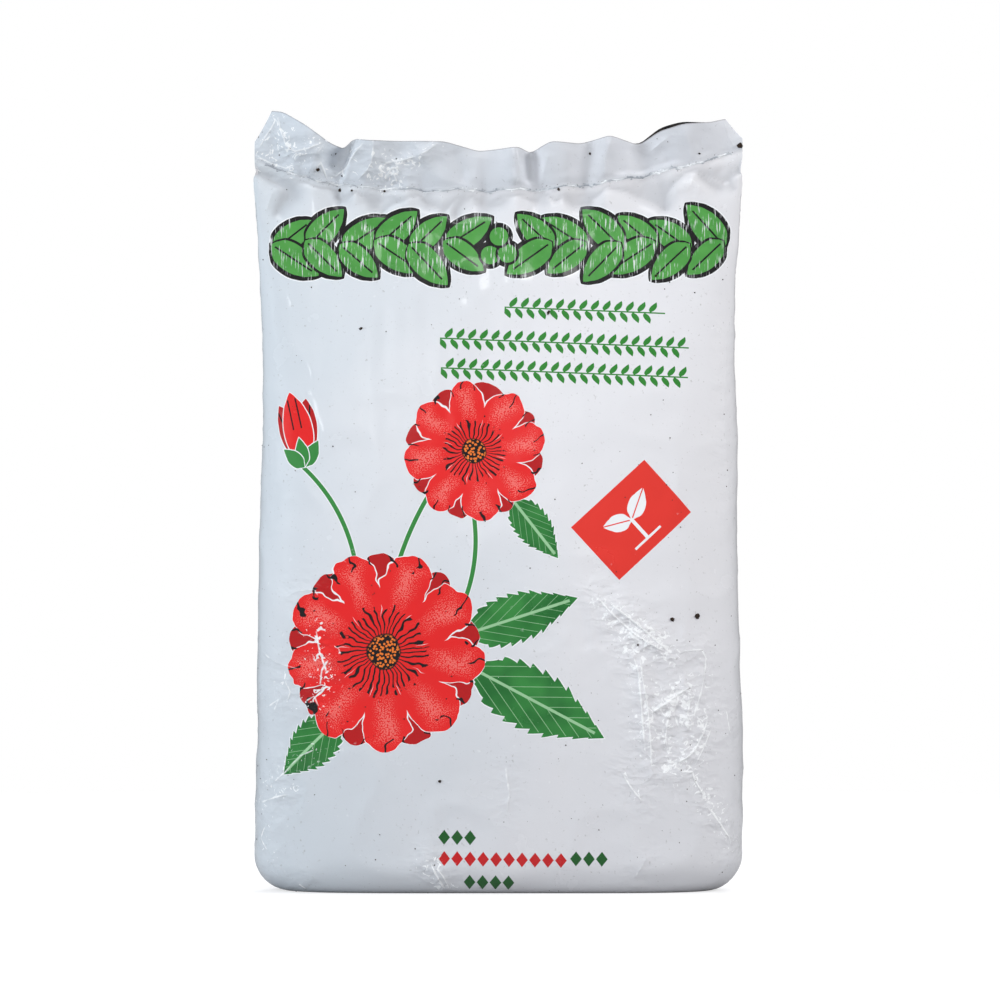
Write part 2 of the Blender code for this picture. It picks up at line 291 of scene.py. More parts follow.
# Each row: height and reach in 0.1 mm, crisp line in 0.01 mm, power, and the line's points in 0.1 mm
CREASES = tuple(
    Crease.of(*row)
    for row in (
        # Under the weld: swags and furrows, from left to right
        (-21, 28, 0, 1.15, (-1187, 3573), (-1103, 3558), (-1003, 3513)),
        (-44, 45, 0, 1.15, (-1003, 3518), (-1067, 3448), (-1133, 3347)),
        (21, 35, 6, 1.15, (-1113, 3518), (-1143, 3448), (-1172, 3367)),
        (-25, 30, 0, 1.15, (-828, 3518), (-798, 3458), (-757, 3432)),
        (18, 35, 0, 1.15, (-742, 3513), (-707, 3422)),
        (-32, 40, 0, 1.15, (-683, 3503), (-643, 3448), (-592, 3387)),
        (15, 40, 0, 1.15, (-493, 3498), (-442, 3417)),
        (-21, 32, 0, 1.15, (-382, 3493), (-338, 3438), (-293, 3422)),
        (-36, 40, 0, 1.15, (-152, 3498), (-203, 3417), (-227, 3337)),
        (-25, 30, 0, 1.15, (-103, 3483), (-57, 3422), (8, 3427), (77, 3483)),
        (-18, 28, 0, 1.15, (107, 3488), (182, 3453), (253, 3493)),
        (-32, 34, 0, 1.15, (297, 3498), (372, 3432), (437, 3427), (488, 3493)),
        (15, 40, 0, 1.15, (537, 3498), (527, 3407)),
        (-25, 30, 0, 1.15, (607, 3523), (673, 3483), (757, 3478), (813, 3518)),
        (-44, 42, 0, 1.15, (712, 3528), (783, 3463), (858, 3382)),
        (15, 30, 0, 1.15, (958, 3518), (867, 3488)),
        (-36, 32, 0, 1.15, (978, 3588), (1037, 3548), (1098, 3508), (1148, 3513)),
        (-29, 26, 0, 1.15, (1148, 3578), (1168, 3508), (1197, 3488)),
        (15, 22, 8, 1.15, (1027, 3488), (968, 3548), (948, 3498)),
        # Rim: the tall corner's curved ridge and facets, the pleat and the kinks beside it
        (19, 42, 30, 1.1, (-1108, 3872), (-1087, 3792), (-1062, 3718), (-1017, 3688), (-943, 3703),
         (-858, 3738)),
        (10, 26, 20, 1.2, (-1143, 3882), (-1118, 3847), (-1138, 3807), (-1168, 3762), (-1202, 3698)),
        (10, 24, 20, 1.2, (-1217, 3673), (-1182, 3653), (-1128, 3628), (-1067, 3608), (-1017, 3613)),
        (16, 38, 10, 1.1, (-858, 3738), (-897, 3688), (-938, 3608), (-973, 3548)),
        (8, 18, 24, 1.2, (-927, 3583), (-887, 3633), (-853, 3543)),
        (-30, 60, 0, 1.4, (-823, 3708), (-803, 3648), (-823, 3588)),
        (18, 34, 30, 1.1, (-673, 3733), (-722, 3673), (-767, 3608), (-813, 3568), (-848, 3573)),
        (10, 26, 20, 1.1, (-622, 3728), (-633, 3633), (-663, 3583), (-712, 3543)),
        (8, 20, 26, 1.2, (-587, 3533), (-587, 3593), (-563, 3628), (-522, 3638), (-462, 3648),
         (-398, 3668)),
        (7, 14, 22, 1.2, (-522, 3638), (-483, 3578)),
        (8, 14, 26, 1.2, (-573, 3543), (-532, 3608), (-503, 3518)),
        (12, 30, 20, 1.1, (-297, 3733), (-357, 3688), (-418, 3663)),
        (-12, 50, 0, 1.3, (-232, 3718), (-182, 3598), (-192, 3508)),
        (10, 60, 0, 1.3, (-103, 3698), (-123, 3518)),
        (16, 40, 10, 1.1, (88, 3718), (107, 3598), (83, 3508)),
        (-16, 46, 0, 1.3, (163, 3688), (152, 3518)),
        (10, 34, 6, 1.2, (253, 3698), (213, 3518)),
        (8, 50, 0, 1.3, (367, 3728), (338, 3608), (357, 3518)),
        (14, 44, 8, 1.1, (568, 3767), (527, 3648), (537, 3528)),
        (-12, 46, 0, 1.3, (633, 3738), (617, 3558)),
        (8, 18, 16, 1.2, (848, 3762), (757, 3688)),
        (-8, 40, 0, 1.3, (808, 3718), (867, 3598)),
        (10, 50, 0, 1.2, (912, 3817), (968, 3698), (958, 3608)),
        (-10, 50, 0, 1.3, (1037, 3827), (1008, 3723), (1037, 3648)),
        (8, 26, 10, 1.2, (1128, 3857), (1148, 3772), (1182, 3708)),
        # Lower right: the flattened strip, the long double crease and the facets beside it
        (16, 40, 35, 1.3, (532, 1452), (583, 1412), (683, 1333), (793, 1242), (848, 1192)),
        (8, 22, 28, 1.2, (473, 1482), (573, 1373), (673, 1283), (793, 1212), (843, 1187)),
        (-10, 30, 0, 1.4, (508, 1447), (617, 1348), (747, 1258)),
        (12, 36, 20, 1.2, (848, 1172), (922, 1202), (1003, 1207), (1027, 1163), (1017, 1072),
         (998, 988), (968, 897), (943, 798)),
        (12, 34, 28, 1.2, (742, 887), (838, 953), (958, 1032)),
        (10, 26, 24, 1.2, (658, 1207), (688, 1098), (703, 943), (712, 813), (722, 698)),
        (12, 30, 22, 1.2, (693, 1207), (707, 1077), (732, 943), (747, 777), (757, 573)),
        (6, 12, 24, 1.2, (938, 988), (943, 932), (927, 877)),
        (7, 14, 22, 1.2, (858, 932), (833, 853), (823, 767), (838, 712)),
        (-6, 16, 14, 1.2, (887, 998), (867, 887), (897, 808)),
        (8, 18, 28, 1.2, (1037, 877), (1013, 798), (968, 712), (922, 668), (858, 643)),
        (7, 14, 22, 1.2, (1057, 833), (1013, 722), (968, 633)),
        (7, 14, 26, 1.2, (858, 643), (907, 607), (958, 602), (968, 568), (1013, 493), (1032, 457)),
        (10, 30, 24, 1.2, (1022, 447), (1077, 372), (1143, 272), (1153, 217)),
        (5, 16, 20, 1.2, (602, 612), (658, 522), (717, 452)),
        (5, 22, 12, 1.2, (737, 192), (707, 138), (673, 83)),
        (6, 16, 16, 1.2, (1113, 943), (1133, 877), (1143, 777)),
        (6, 30, 4, 1.3, (767, 573), (958, 573)),
        # Left side and foot
        (10, 30, 18, 1.2, (-1133, 532), (-1062, 597), (-978, 683), (-882, 727)),
        (8, 22, 18, 1.2, (-1182, 442), (-1113, 473), (-1032, 493)),
        (8, 22, 20, 1.2, (-1153, 338), (-1182, 267), (-1133, 198)),
        (-8, 30, 6, 1.3, (-1138, 638), (-993, 607), (-813, 688)),
        (6, 20, 12, 1.2, (-1182, 1197), (-1092, 1138), (-973, 1108)),
        (5, 14, 14, 1.2, (-998, 1497), (-912, 1507), (-882, 1467)),
        (7, 18, 22, 1.2, (-902, 1323), (-882, 1197), (-843, 1087)),
        (6, 16, 22, 1.2, (-833, 1168), (-872, 1108), (-882, 1027)),
        (6, 16, 18, 1.2, (-1067, 1067), (-1032, 998), (-1052, 938)),
        (5, 14, 18, 1.2, (-963, 948), (-912, 978), (-882, 917)),
        (5, 14, 14, 1.2, (-1153, 917), (-1092, 958), (-1123, 887)),
        (8, 22, 26, 1.2, (-338, 163), (-312, 107), (-262, 18)),
        (5, 12, 22, 1.2, (-307, 138), (-272, 88), (-243, 27)),
        (5, 16, 18, 1.2, (-993, 47), (-953, 18)),
        (5, 18, 12, 1.2, (32, 638), (53, 498), (37, 387)),
        # Right side
        (8, 40, 6, 1.3, (1143, 2797), (1118, 2347), (1148, 1847)),
        (8, 40, 0, 1.3, (1087, 3197), (1118, 2948)),
    )
)

CRUMPLES = tuple(
    Crumple(*row)
    for row in (
        (0.0640, 0.1270, 0.034, 0.020), (0.0860, 0.0900, 0.022, 0.036),
        (0.1080, 0.0550, 0.014, 0.036, 0.00022), (-0.0930, 0.1080, 0.024, 0.034, 0.00022),
        (-0.1080, 0.0560, 0.016, 0.028, 0.00024), (-0.1130, 0.2100, 0.010, 0.060, 0.00016),
        (0.0300, 0.1250, 0.022, 0.030, 0.00016), (0.1130, 0.2300, 0.010, 0.070, 0.00016),
        (-0.1080, 0.3680, 0.018, 0.018, 0.00022), (-0.0520, 0.3600, 0.022, 0.012, 0.00018),
        (-0.0310, 0.0180, 0.014, 0.020, 0.00016),
    )
)


@dataclass(frozen=True)
class FilmShape:
    """Sizes of the filled film tube, in metres, as the solid has them."""

    base_width: float = 0.2445
    waist_width: float = 0.2360
    weld_width: float = 0.2440
    base_depth: float = 0.0660
    belly_depth: float = 0.0690
    weld_height: float = 0.3485
    weld_rise_left: float = 0.0160
    weld_rise_right: float = 0.0205
    weld_band: float = 0.0024
    # Small wavers of the weld line: (height, turns, phase)
    wavers: tuple[tuple[float, float, float], ...] = ((0.00045, 29.0, 0.0), (0.00035, 71.0, 1.0))
    rim_length: float = 0.0245
    rim_gap: float = 0.0050
    leaf: float = 0.0003
    pocket_slit: float = 0.0004
    foot_height: float = 0.0170
    foot_side: float = 0.0180
    foot_front: float = 0.0110
    belly_height: float = 0.0800
    waist_under_weld: float = 0.0830
    shoulder_length: float = 0.2200
    shoulder_power: float = 1.85
    shoulder_fullness: float = 0.88
    flatness: tuple[float, float, float] = (6.0, 4.6, 3.0)
    rise_power: Pair = (4.0, 2.0)
    corner_inset: float = 0.0085
    corner_start: float = 0.3
    weld_swing: float = 0.35
    rear_rise: float = 0.0018
    rear_rise_place: float = 0.69
    rear_rise_reach: float = 0.11
    gather_zone: float = 0.0400
    crest_round: float = 0.018
    samples: int = 2880

    def weld(self, place: np.ndarray) -> np.ndarray:
        """Height of the weld line, which climbs to both side folds."""
        share = np.clip(np.abs(place), 0.0, 1.0)
        left = self.weld_rise_left * share ** self.rise_power[0]
        right = self.weld_rise_right * share ** self.rise_power[1]
        waver = sum(height * np.sin(turns * place + phase) for height, turns, phase in self.wavers)
        return self.weld_height + np.where(place < 0, left, right) + waver * (1.0 - share**6)

    def crest(self, place: np.ndarray, rear: np.ndarray) -> np.ndarray:
        """Height of the rim's cut edge, on the front leaf or the rear one."""
        stations = np.array(RIM_CREST)
        near = np.linspace(-self.crest_round, self.crest_round, 9)
        high = [np.interp(place + step, stations[:, 0], stations[:, 1]) for step in near]
        edge = self.weld_height + self.rim_length + np.mean(high, axis=0)
        bump = np.exp(-(((place - self.rear_rise_place) / self.rear_rise_reach) ** 2))
        return edge + np.where(rear, self.rear_rise * bump, 0.0)

    def half_width(self, z: float) -> float:
        """Half the bag's width at a height."""
        waist = self.weld_height - self.waist_under_weld
        if z < waist:
            share = float(ease(z / waist))
            return (self.base_width + (self.waist_width - self.base_width) * share) / 2
        share = float(ease((z - waist) / self.waist_under_weld))
        return (self.waist_width + (self.weld_width - self.waist_width) * share) / 2

    def half_depth(self, z: float) -> float:
        """Half the bag's depth at a height."""
        full = self.base_depth
        full += (self.belly_depth - self.base_depth) * float(ease(z / self.belly_height))
        drop = min(max((self.weld_height - z) / self.shoulder_length, 0.0), 1.0)
        closing = (1.0 - (1.0 - drop) ** self.shoulder_power) ** self.shoulder_fullness
        return self.leaf + (full / 2 - self.leaf) * closing

    def section(self, across: float, through: float, power: float, rounds: np.ndarray) -> np.ndarray:
        """Points round the tube: left fold, front, right fold, rear.

        Args:
            across: Half the width.
            through: Half the depth.
            power: Flatness of the faces: 2 is an ellipse, and more is flatter.
            rounds: Shares of the way round, 0 at the left fold and 0.25 at the front's middle.

        Returns:
            Rows of x, y and the distance round the film from the front's middle.
        """
        angle = np.linspace(0.0, 2 * math.pi, self.samples + 1)
        cosine = np.cos(angle)
        x = -across * np.sign(cosine) * np.abs(cosine) ** (2 / power)
        y = -through * np.sin(angle)
        run = np.concatenate([[0.0], np.cumsum(np.hypot(np.diff(x), np.diff(y)))])
        stops = rounds * run[-1]
        return np.stack([np.interp(stops, run, x), np.interp(stops, run, y), stops - run[-1] / 4])

    def body_section(self, z: float, rounds: np.ndarray) -> np.ndarray:
        """Points round the filled body at a height, as section gives them."""
        half, front = self.half_width(z), self.half_depth(z)
        if z < self.foot_height:
            inset = 1.0 - math.sin(math.acos(1.0 - z / self.foot_height))
            half -= self.foot_side * inset
            front -= self.foot_front * inset
        heights = (0.0, self.belly_height, self.weld_height)
        return self.section(half, front, float(np.interp(z, heights, self.flatness)), rounds)

    @lru_cache(maxsize=4096)
    def across_film(self, x: float, z: float) -> float:
        """Distance round the film from the front's middle to a point that shows at x.

        Args:
            x: Place across, as seen from the front.
            z: Height.

        Returns:
            The distance, negative to the left.
        """
        level = min(max(z, self.foot_height), self.weld_height - self.weld_band)
        rounds = np.linspace(0.0, 0.5, 721)
        seen_x, _, film = self.body_section(level, rounds)
        return float(np.interp(x, seen_x, film))


@dataclass(frozen=True)
class Zone:
    """A rectangle of the film map, in metres, that has a material of its own."""

    left: float
    right: float
    low: float
    high: float

    def meets(self, x: float, z: float, across: float, up: float) -> bool:
        """Whether a motif may show in the zone.

        Args:
            x: Middle of the motif, round the film.
            z: Its height.
            across: Half its width.
            up: Half its height.

        Returns:
            True if the two rectangles overlap.
        """
        beside = x + across > self.left and x - across < self.right
        return beside and z + up > self.low and z - up < self.high


@dataclass(frozen=True)
class ZoneGrid:
    """Cuts the printed front into zones, so that each material stays small."""

    across: tuple[float, ...] = (-0.135, -0.064, 0.002, 0.060, 0.084, 0.135)
    up: tuple[float, ...] = (-0.01, 0.045, 0.074, 0.105, 0.135, 0.175, 0.225, 0.295, 0.347, 0.40)
    margin: float = 0.003

    def zones(self) -> list[Zone]:
        """The zones, row by row, with a margin that their edge faces reach into."""
        m = self.margin
        return [
            Zone(left - m, right + m, low - m, high + m)
            for low, high in zip(self.up, self.up[1:])
            for left, right in zip(self.across, self.across[1:])
        ]

    def index(self, run: np.ndarray, z: np.ndarray) -> np.ndarray:
        """Index of each place's zone. Places off the front get the number of zones."""
        column = np.searchsorted(self.across, run) - 1
        row = np.searchsorted(self.up, z) - 1
        columns, rows = len(self.across) - 1, len(self.up) - 1
        found = np.clip(row, 0, rows - 1) * columns + column
        return np.where((column < 0) | (column >= columns), columns * rows, found)


@dataclass
class FilmBag:
    """The film: a closed mesh of rings, with every fold and crease in its shape."""

    shape: FilmShape = field(default_factory=FilmShape)
    front_columns: int = 200
    rear_columns: int = 116
    foot_rings: int = 10
    body_rings: int = 238
    rim_rings: int = 26
    inner_rings: int = 12
    bake_front_share: float = 0.68
    bake_up: Pair = (0.02, 0.93)
    bake_base: float = 0.97
    bake_caps: Pair = (0.988, 0.996)
    sag_pitch: float = 0.075
    sag_depth: float = 0.0012
    dent_pitch: float = 0.026
    dent_depth: float = 0.00055
    grain_pitch: float = 0.0085
    grain_depth: float = 0.00014
    fine_gathers: int = 30
    gather_spread: float = 0.6
    gather_power: float = 1.7
    shared_reach: float = 0.016
    rim_relief: float = 1.7
    rim_creases: float = 1.35
    rear_crumple: float = 0.00020
    hollow_start: float = 0.0004
    hollow_depth: float = 0.0036
    hem_depth: float = 0.0013
    hem_edge: float = 0.0015
    hem_shade: float = 1.0
    crinkle_reach: float = 0.0090
    full_crease: float = 0.00026
    full_crumple: float = 0.0003
    pleat_place: float = -0.655
    pleat_lean: float = 0.058
    pleat_run: float = 0.115
    pleat_slope: float = 0.10
    pleat_return: float = 0.020
    pleat_depth: float = 0.0068
    warp_pitch: float = 0.03
    warp_depth: float = 0.006
    crinkle_pitches: Pair = (0.0095, 0.0048)
    crumple_gain: float = 1.5
    closing_drop: float = 0.010
    standing_height: float = 0.008
    side_power: int = 8
    most_relief: float = 0.8
    first_rim_lift: float = 0.04
    last_inner_lift: float = 0.06
    sharp_angle: float = 75
    # Rings of the weld band: (share of its height, thickness in leaves)
    weld_profile: tuple[Pair, ...] = ((0.0, 1.0), (0.25, 1.5), (0.5, 0.7), (0.75, 1.5), (1.0, 1.1))
    seed: int = 7
    grid: ZoneGrid = field(default_factory=ZoneGrid)

    def rounds(self) -> np.ndarray:
        """Shares of the way round for each column, closer together on the front."""
        front = np.linspace(0.0, 0.5, self.front_columns, endpoint=False)
        rear = np.linspace(0.5, 1.0, self.rear_columns, endpoint=False)
        return np.concatenate([front, rear])

    def rear(self) -> np.ndarray:
        """Which columns lie on the rear."""
        return self.rounds() > 0.5

    def swing(self, place: np.ndarray, lift: float | np.ndarray) -> np.ndarray:
        """How far both leaves of the rim lie behind the weld's plane.

        Args:
            place: Place across, as a share of the weld's half width.
            lift: 0 at the weld and 1 at the cut edge.

        Returns:
            The distance back for each place.
        """
        total = np.zeros_like(place)
        for wave in RIM_WAVES:
            middle = wave.place + wave.lean * (lift - 0.5)
            total += wave.swing * np.exp(-(((place - middle) / wave.reach) ** 2))
        # The pleat: the film runs back slowly from the left and returns in one step
        edge = self.pleat_place + self.pleat_lean * lift
        behind = ease((place - edge + self.pleat_run) / self.pleat_slope) * (place < edge)
        step = ease(1.0 - (place - edge) / self.pleat_return) * (place >= edge)
        total += self.pleat_depth * (behind + step)
        return total * (self.shape.weld_swing + (1.0 - self.shape.weld_swing) * lift)

    def all_gathers(self, listed: Sequence[Gather], seed: int) -> list[Gather]:
        """The listed furrows and finer ones between them."""
        rng = np.random.default_rng(seed)
        fine = [
            Gather(
                rng.uniform(-0.95, 0.95),
                rng.uniform(0.0003, 0.0011) * rng.choice([-1.0, 1.0]),
                rng.uniform(0.010, 0.024),
                rng.uniform(0.008, 0.030),
                rng.uniform(-4.0, 4.0),
            )
            for _ in range(self.fine_gathers)
        ]
        return [*listed, *fine]

    def gather_depth(self, place: np.ndarray, drop: np.ndarray, gathers: Iterable[Gather]) -> np.ndarray:
        """Depth of the furrows, at a distance under the weld."""
        total = np.zeros_like(place)
        for g in gathers:
            along = np.clip(drop / g.length, 0.0, 1.0)
            fade = (1.0 - along) ** 2 * np.clip(4.0 * along, 0.5, 1.0)
            aside = np.abs(place - g.place - g.lean * drop) / (g.reach * (1.0 + self.gather_spread * along))
            total += g.depth * fade * np.exp(-(aside**self.gather_power))
        return total

    @staticmethod
    def crease_height(x: np.ndarray, z: np.ndarray) -> np.ndarray:
        """How far the creases stand out of the front film."""
        total = np.zeros_like(x)
        for crease in CREASES:
            nearest, place = crease.distance(x, z)
            fade = 0.25 + 0.75 * ease(4.0 * place) * ease(4.0 * (1.0 - place))
            total += crease.height * fade * np.exp(-((nearest / crease.reach) ** crease.power))
        return total

    @staticmethod
    def crumple_share(x: np.ndarray, z: np.ndarray) -> np.ndarray:
        """Depth of the fine crinkles over the front, in metres."""
        total = np.zeros_like(x)
        for patch in CRUMPLES:
            far = ((x - patch.x) / patch.across) ** 2 + ((z - patch.z) / patch.up) ** 2
            total = np.maximum(total, patch.depth * np.exp(-far))
        return total

    def crinkle_share(self, x: np.ndarray, z: np.ndarray) -> np.ndarray:
        """How finely the front is crinkled, from 0 to 1: most beside sharp creases of crumpled patches."""
        near = np.zeros_like(x)
        for crease in CREASES:
            if crease.sharp:
                strength = min(crease.sharp / self.full_crease, 1.0)
                far, _ = crease.distance(x, z)
                near = np.maximum(near, strength * np.exp(-((far / self.crinkle_reach) ** 2)))
        return near * (0.40 + 0.60 * self.crumple_share(x, z) / self.full_crumple)

    def relief(self, points: np.ndarray) -> np.ndarray:
        """Height of the sags, dents and crinkles that cover the whole film.

        Args:
            points: Points of the plain film.

        Returns:
            The height over the plain film for each point.
        """
        noise, other = Lattice(self.seed), Lattice(self.seed + 1)
        sag = self.sag_depth * noise.at(points, self.sag_pitch)
        warped = points + self.warp_depth * noise.at(points, self.warp_pitch)[..., None]
        dents = self.dent_depth * (other.ridged(warped, self.dent_pitch) - 0.5)
        grain = self.grain_depth * other.at(points, self.grain_pitch)
        front = points[..., 1] < 0.0
        crumple = self.crumple_share(points[..., 0], points[..., 2])
        crumple = np.where(front, crumple, self.rear_crumple)
        wide, narrow = self.crinkle_pitches
        crinkle = noise.ridged(warped, wide) + 0.6 * other.ridged(warped, narrow) - 0.8
        return sag + dents + grain + self.crumple_gain * crumple * crinkle

    def body_grid(self) -> tuple[np.ndarray, np.ndarray]:
        """Rings of the filled body.

        Returns:
            The points, ring by ring, and the distance round the film of each.
        """
        shape, rounds, rear = self.shape, self.rounds(), self.rear()
        turns = np.linspace(0.0, math.pi / 2, self.foot_rings, endpoint=False)
        foot = shape.foot_height * (1.0 - np.cos(turns))
        tall = np.linspace(shape.foot_height, shape.weld_height, self.body_rings, endpoint=False)
        points, film = [], []
        for level in (*foot, *tall):
            x, y, run = shape.body_section(level, rounds)
            place = x / np.abs(x).max()
            z = level / shape.weld_height * shape.weld(place)
            points.append(np.stack([x, y, z], axis=1))
            film.append(run)
        grid = np.array(points)
        normal = self.normals(grid)
        place = grid[..., 0] / np.abs(grid[..., 0]).max(axis=1, keepdims=True)
        drop = shape.weld(place) - grid[..., 2]
        furrows = np.where(
            rear,
            self.gather_depth(place, drop, self.all_gathers(REAR_GATHERS, self.seed + 2)),
            self.gather_depth(place, drop, self.all_gathers(FRONT_GATHERS, self.seed + 3)),
        )
        creases = np.where(rear, 0.0, self.crease_height(grid[..., 0], grid[..., 2]))
        closing = ease(drop / self.closing_drop)
        standing = ease(grid[..., 2] / self.standing_height)
        shared = ease(1.0 - drop / self.shared_reach)
        out = (creases - furrows * (1.0 - shared)) * (1.0 - np.abs(place) ** self.side_power)
        out += self.relief(grid) * closing
        out -= np.where(rear, 0.0, self.hem_share(place, drop)) * self.hem_depth
        limit = self.most_relief * np.abs(grid[..., 1]).max(axis=1, keepdims=True)
        grid += normal * (np.clip(out, -limit, limit) * standing)[..., None]
        follow = ease(1.0 - drop / shape.gather_zone)
        grid[..., 1] += self.swing(place, 0.0) * follow + self.pucker(place, drop) * shared
        return grid, np.array(film)

    def pucker(self, place: np.ndarray, drop: np.ndarray) -> np.ndarray:
        """How far the front's furrows push the weld and both faces beside it back."""
        inner = 1.0 - np.clip(np.abs(place), 0.0, 1.0) ** self.side_power
        return self.gather_depth(place, drop, self.all_gathers(FRONT_GATHERS, self.seed + 3)) * inner

    def hem_share(self, place: np.ndarray, drop: np.ndarray) -> np.ndarray:
        """How far the film is tucked in under the weld, up to 1 just above the hem of its small swags."""
        hem = np.interp(place, *np.transpose(HEM))
        tucked = ease(drop / hem) * (1.0 - ease((drop - hem) / self.hem_edge))
        return np.where(drop > 0.0, tucked, 0.0)

    @staticmethod
    def normals(grid: np.ndarray) -> np.ndarray:
        """Outward unit normals of a grid of rings that close on themselves."""
        around = np.roll(grid, -1, axis=1) - np.roll(grid, 1, axis=1)
        up = np.gradient(grid, axis=0)
        normal = np.cross(around, up)
        return normal / np.maximum(np.linalg.norm(normal, axis=-1, keepdims=True), 1e-9)

    def rim_ring(self, lift: float, inside: bool) -> tuple[np.ndarray, np.ndarray]:
        """One ring of the rim, on its outer side or inside the pocket.

        Args:
            lift: 0 at the weld and 1 at the cut edge.
            inside: Whether the ring lies inside the pocket.

        Returns:
            The points and the distance round the film of each.
        """
        shape, rear = self.shape, self.rear()
        inset = shape.corner_inset * max(0.0, (lift - shape.corner_start) / (1 - shape.corner_start))
        half = shape.weld_width / 2 - inset
        through = shape.leaf + shape.pocket_slit / 2 + shape.rim_gap / 2 * lift
        if inside:
            half -= shape.leaf
            through -= shape.leaf
        x, y, run = shape.section(half, through, shape.flatness[2], self.rounds())
        place = x / (shape.weld_width / 2)
        low = shape.weld(place) + shape.weld_band
        z = low + (shape.crest(place, rear) - low) * lift
        y = y + self.swing(place, lift) + self.pucker(place, np.zeros_like(place)) * (1.0 - lift) ** 2
        spots = np.stack([x, np.full_like(x, -0.05), z], axis=1)
        ridges = self.crease_height(x, z) * self.rim_creases + self.relief(spots) * self.rim_relief
        y -= ridges * ease(lift * 6.0) * (1.0 - np.clip(np.abs(place), 0.0, 1.0) ** self.side_power)
        return np.stack([x, y, z], axis=1), run

    def weld_rings(self) -> tuple[list[np.ndarray], list[np.ndarray]]:
        """Rings of the flattened weld band, with a shallow groove along its middle."""
        shape = self.shape
        points, film = [], []
        half, power = shape.weld_width / 2, shape.flatness[2]
        for share, thick in self.weld_profile:
            x, y, run = shape.section(half, shape.leaf * thick, power, self.rounds())
            place = x / half
            z = shape.weld(place) + share * shape.weld_band
            back = self.swing(place, 0.0) + self.pucker(place, np.zeros_like(place))
            points.append(np.stack([x, y + back, z], axis=1))
            film.append(run)
        return points, film

    def build(self, outer: Sequence[bpy.types.Material], inner: bpy.types.Material) -> bpy.types.Object:
        """Makes the film's mesh and object.

        Args:
            outer: White film of each zone, and last the unprinted film.
            inner: Black film, for the inside of the rim.

        Returns:
            The film object.
        """
        body, body_film = self.body_grid()
        weld, weld_film = self.weld_rings()
        lifts = np.linspace(self.first_rim_lift, 1.0, self.rim_rings)
        rim = [self.rim_ring(lift, False) for lift in lifts]
        inner_lifts = np.linspace(1.0, self.last_inner_lift, self.inner_rings)
        pocket = [self.rim_ring(lift, True) for lift in inner_lifts]
        rings = [*body, *weld, *(r[0] for r in rim), *(r[0] for r in pocket)]
        film = [*body_film, *weld_film, *(r[1] for r in rim), *(r[1] for r in pocket)]
        first_inner = len(rings) - len(pocket)
        points = np.array(rings)
        middle = (points.min(axis=(0, 1)) + points.max(axis=(0, 1))) / 2
        points -= np.array([middle[0], middle[1], 0.0])
        mesh = self.loft(points, np.array(film), first_inner)
        for material in (*outer, inner):
            mesh.materials.append(material)
        return add_piece("film_bag", mesh)

    def loft(self, points: np.ndarray, film: np.ndarray, first_inner: int) -> bpy.types.Mesh:
        """Joins the rings into a closed mesh with its two maps.

        Args:
            points: Points, ring by ring.
            film: Distance round the film, ring by ring.
            first_inner: Index of the first ring inside the pocket.

        Returns:
            The mesh.
        """
        ring_count, columns = points.shape[:2]
        mesh = bpy.data.meshes.new("film_bag")
        quads = [
            (r * columns + c, r * columns + (c + 1) % columns,
             (r + 1) * columns + (c + 1) % columns, (r + 1) * columns + c)
            for r in range(ring_count - 1)
            for c in range(columns)
        ]
        base = tuple(range(columns - 1, -1, -1))
        last = (ring_count - 1) * columns
        floor = self.pocket_floor(last)
        mesh.from_pydata(points.reshape(-1, 3).tolist(), [], [*quads, base, *floor])
        self.write_maps(mesh, points, film)
        self.write_seams(mesh, points, first_inner)
        run = (film[:-1] + np.roll(film[:-1], -1, axis=1)) / 2
        height = (points[:-1, :, 2] + points[1:, :, 2]) / 2
        zone = self.grid.index(run.ravel(), height.ravel())
        plain = len(self.grid.zones())
        indices = np.full(len(mesh.polygons), plain, dtype=np.int32)
        indices[: len(zone)] = zone
        indices[columns - 1 : len(zone) : columns] = plain
        indices[(first_inner - 1) * columns : len(quads)] = plain + 1
        indices[len(quads) + 1 :] = plain + 1
        mesh.polygons.foreach_set("material_index", indices)
        mesh.polygons.foreach_set("use_smooth", np.ones(len(mesh.polygons), dtype=bool))
        mesh.update()
        mesh.set_sharp_from_angle(angle=math.radians(self.sharp_angle))
        return mesh

    def write_seams(self, mesh: bpy.types.Mesh, points: np.ndarray, first_inner: int) -> None:
        """Writes how far each point lies from the weld and the edge, how much painted shade it takes in a
        furrow or over the swags under the weld, and how crinkled it is.

        Args:
            mesh: The film's mesh.
            points: Points, ring by ring.
            first_inner: Index of the first ring inside the pocket.
        """
        x, z = points[..., 0], points[..., 2]
        place = x / (self.shape.weld_width / 2)
        above = z - self.shape.weld(place)
        front = ~self.rear()
        furrow = np.where(above < 0.0, self.pucker(place, -above), 0.0)
        # painted shade: how much shade to paint into the furrows and over the swags under the weld
        painted_hollow_shade = ease((furrow - self.crease_height(x, z) - self.hollow_start) / self.hollow_depth)
        painted_hollow_shade = np.maximum(painted_hollow_shade, self.hem_share(place, -above) * self.hem_shade) * front
        named = {
            "weld_gap": above - self.shape.weld_band / 2,
            "edge_gap": points[first_inner - 1, :, 2] - z,
            "painted_hollow_shade": painted_hollow_shade,
            "crinkle": self.crinkle_share(x, z) * front,
        }
        for name, values in named.items():
            made = mesh.attributes.new(name, "FLOAT", "POINT")
            made.data.foreach_set("value", values.astype(np.float32).ravel())

    def pocket_floor(self, first: int) -> list[tuple[int, ...]]:
        """Faces that join the two leaves at the floor of the pocket."""
        rounds = self.rounds()
        columns = len(rounds)
        faces: list[tuple[int, ...]] = []
        low, high = 0, columns
        while high - low > 2:
            step_low = rounds[low + 1]
            step_high = 1.0 - rounds[high - 1]
            if step_low <= step_high:
                faces.append((first + low, first + low + 1, first + high % columns))
                low += 1
            else:
                faces.append((first + low, first + high - 1, first + high % columns))
                high -= 1
        return faces

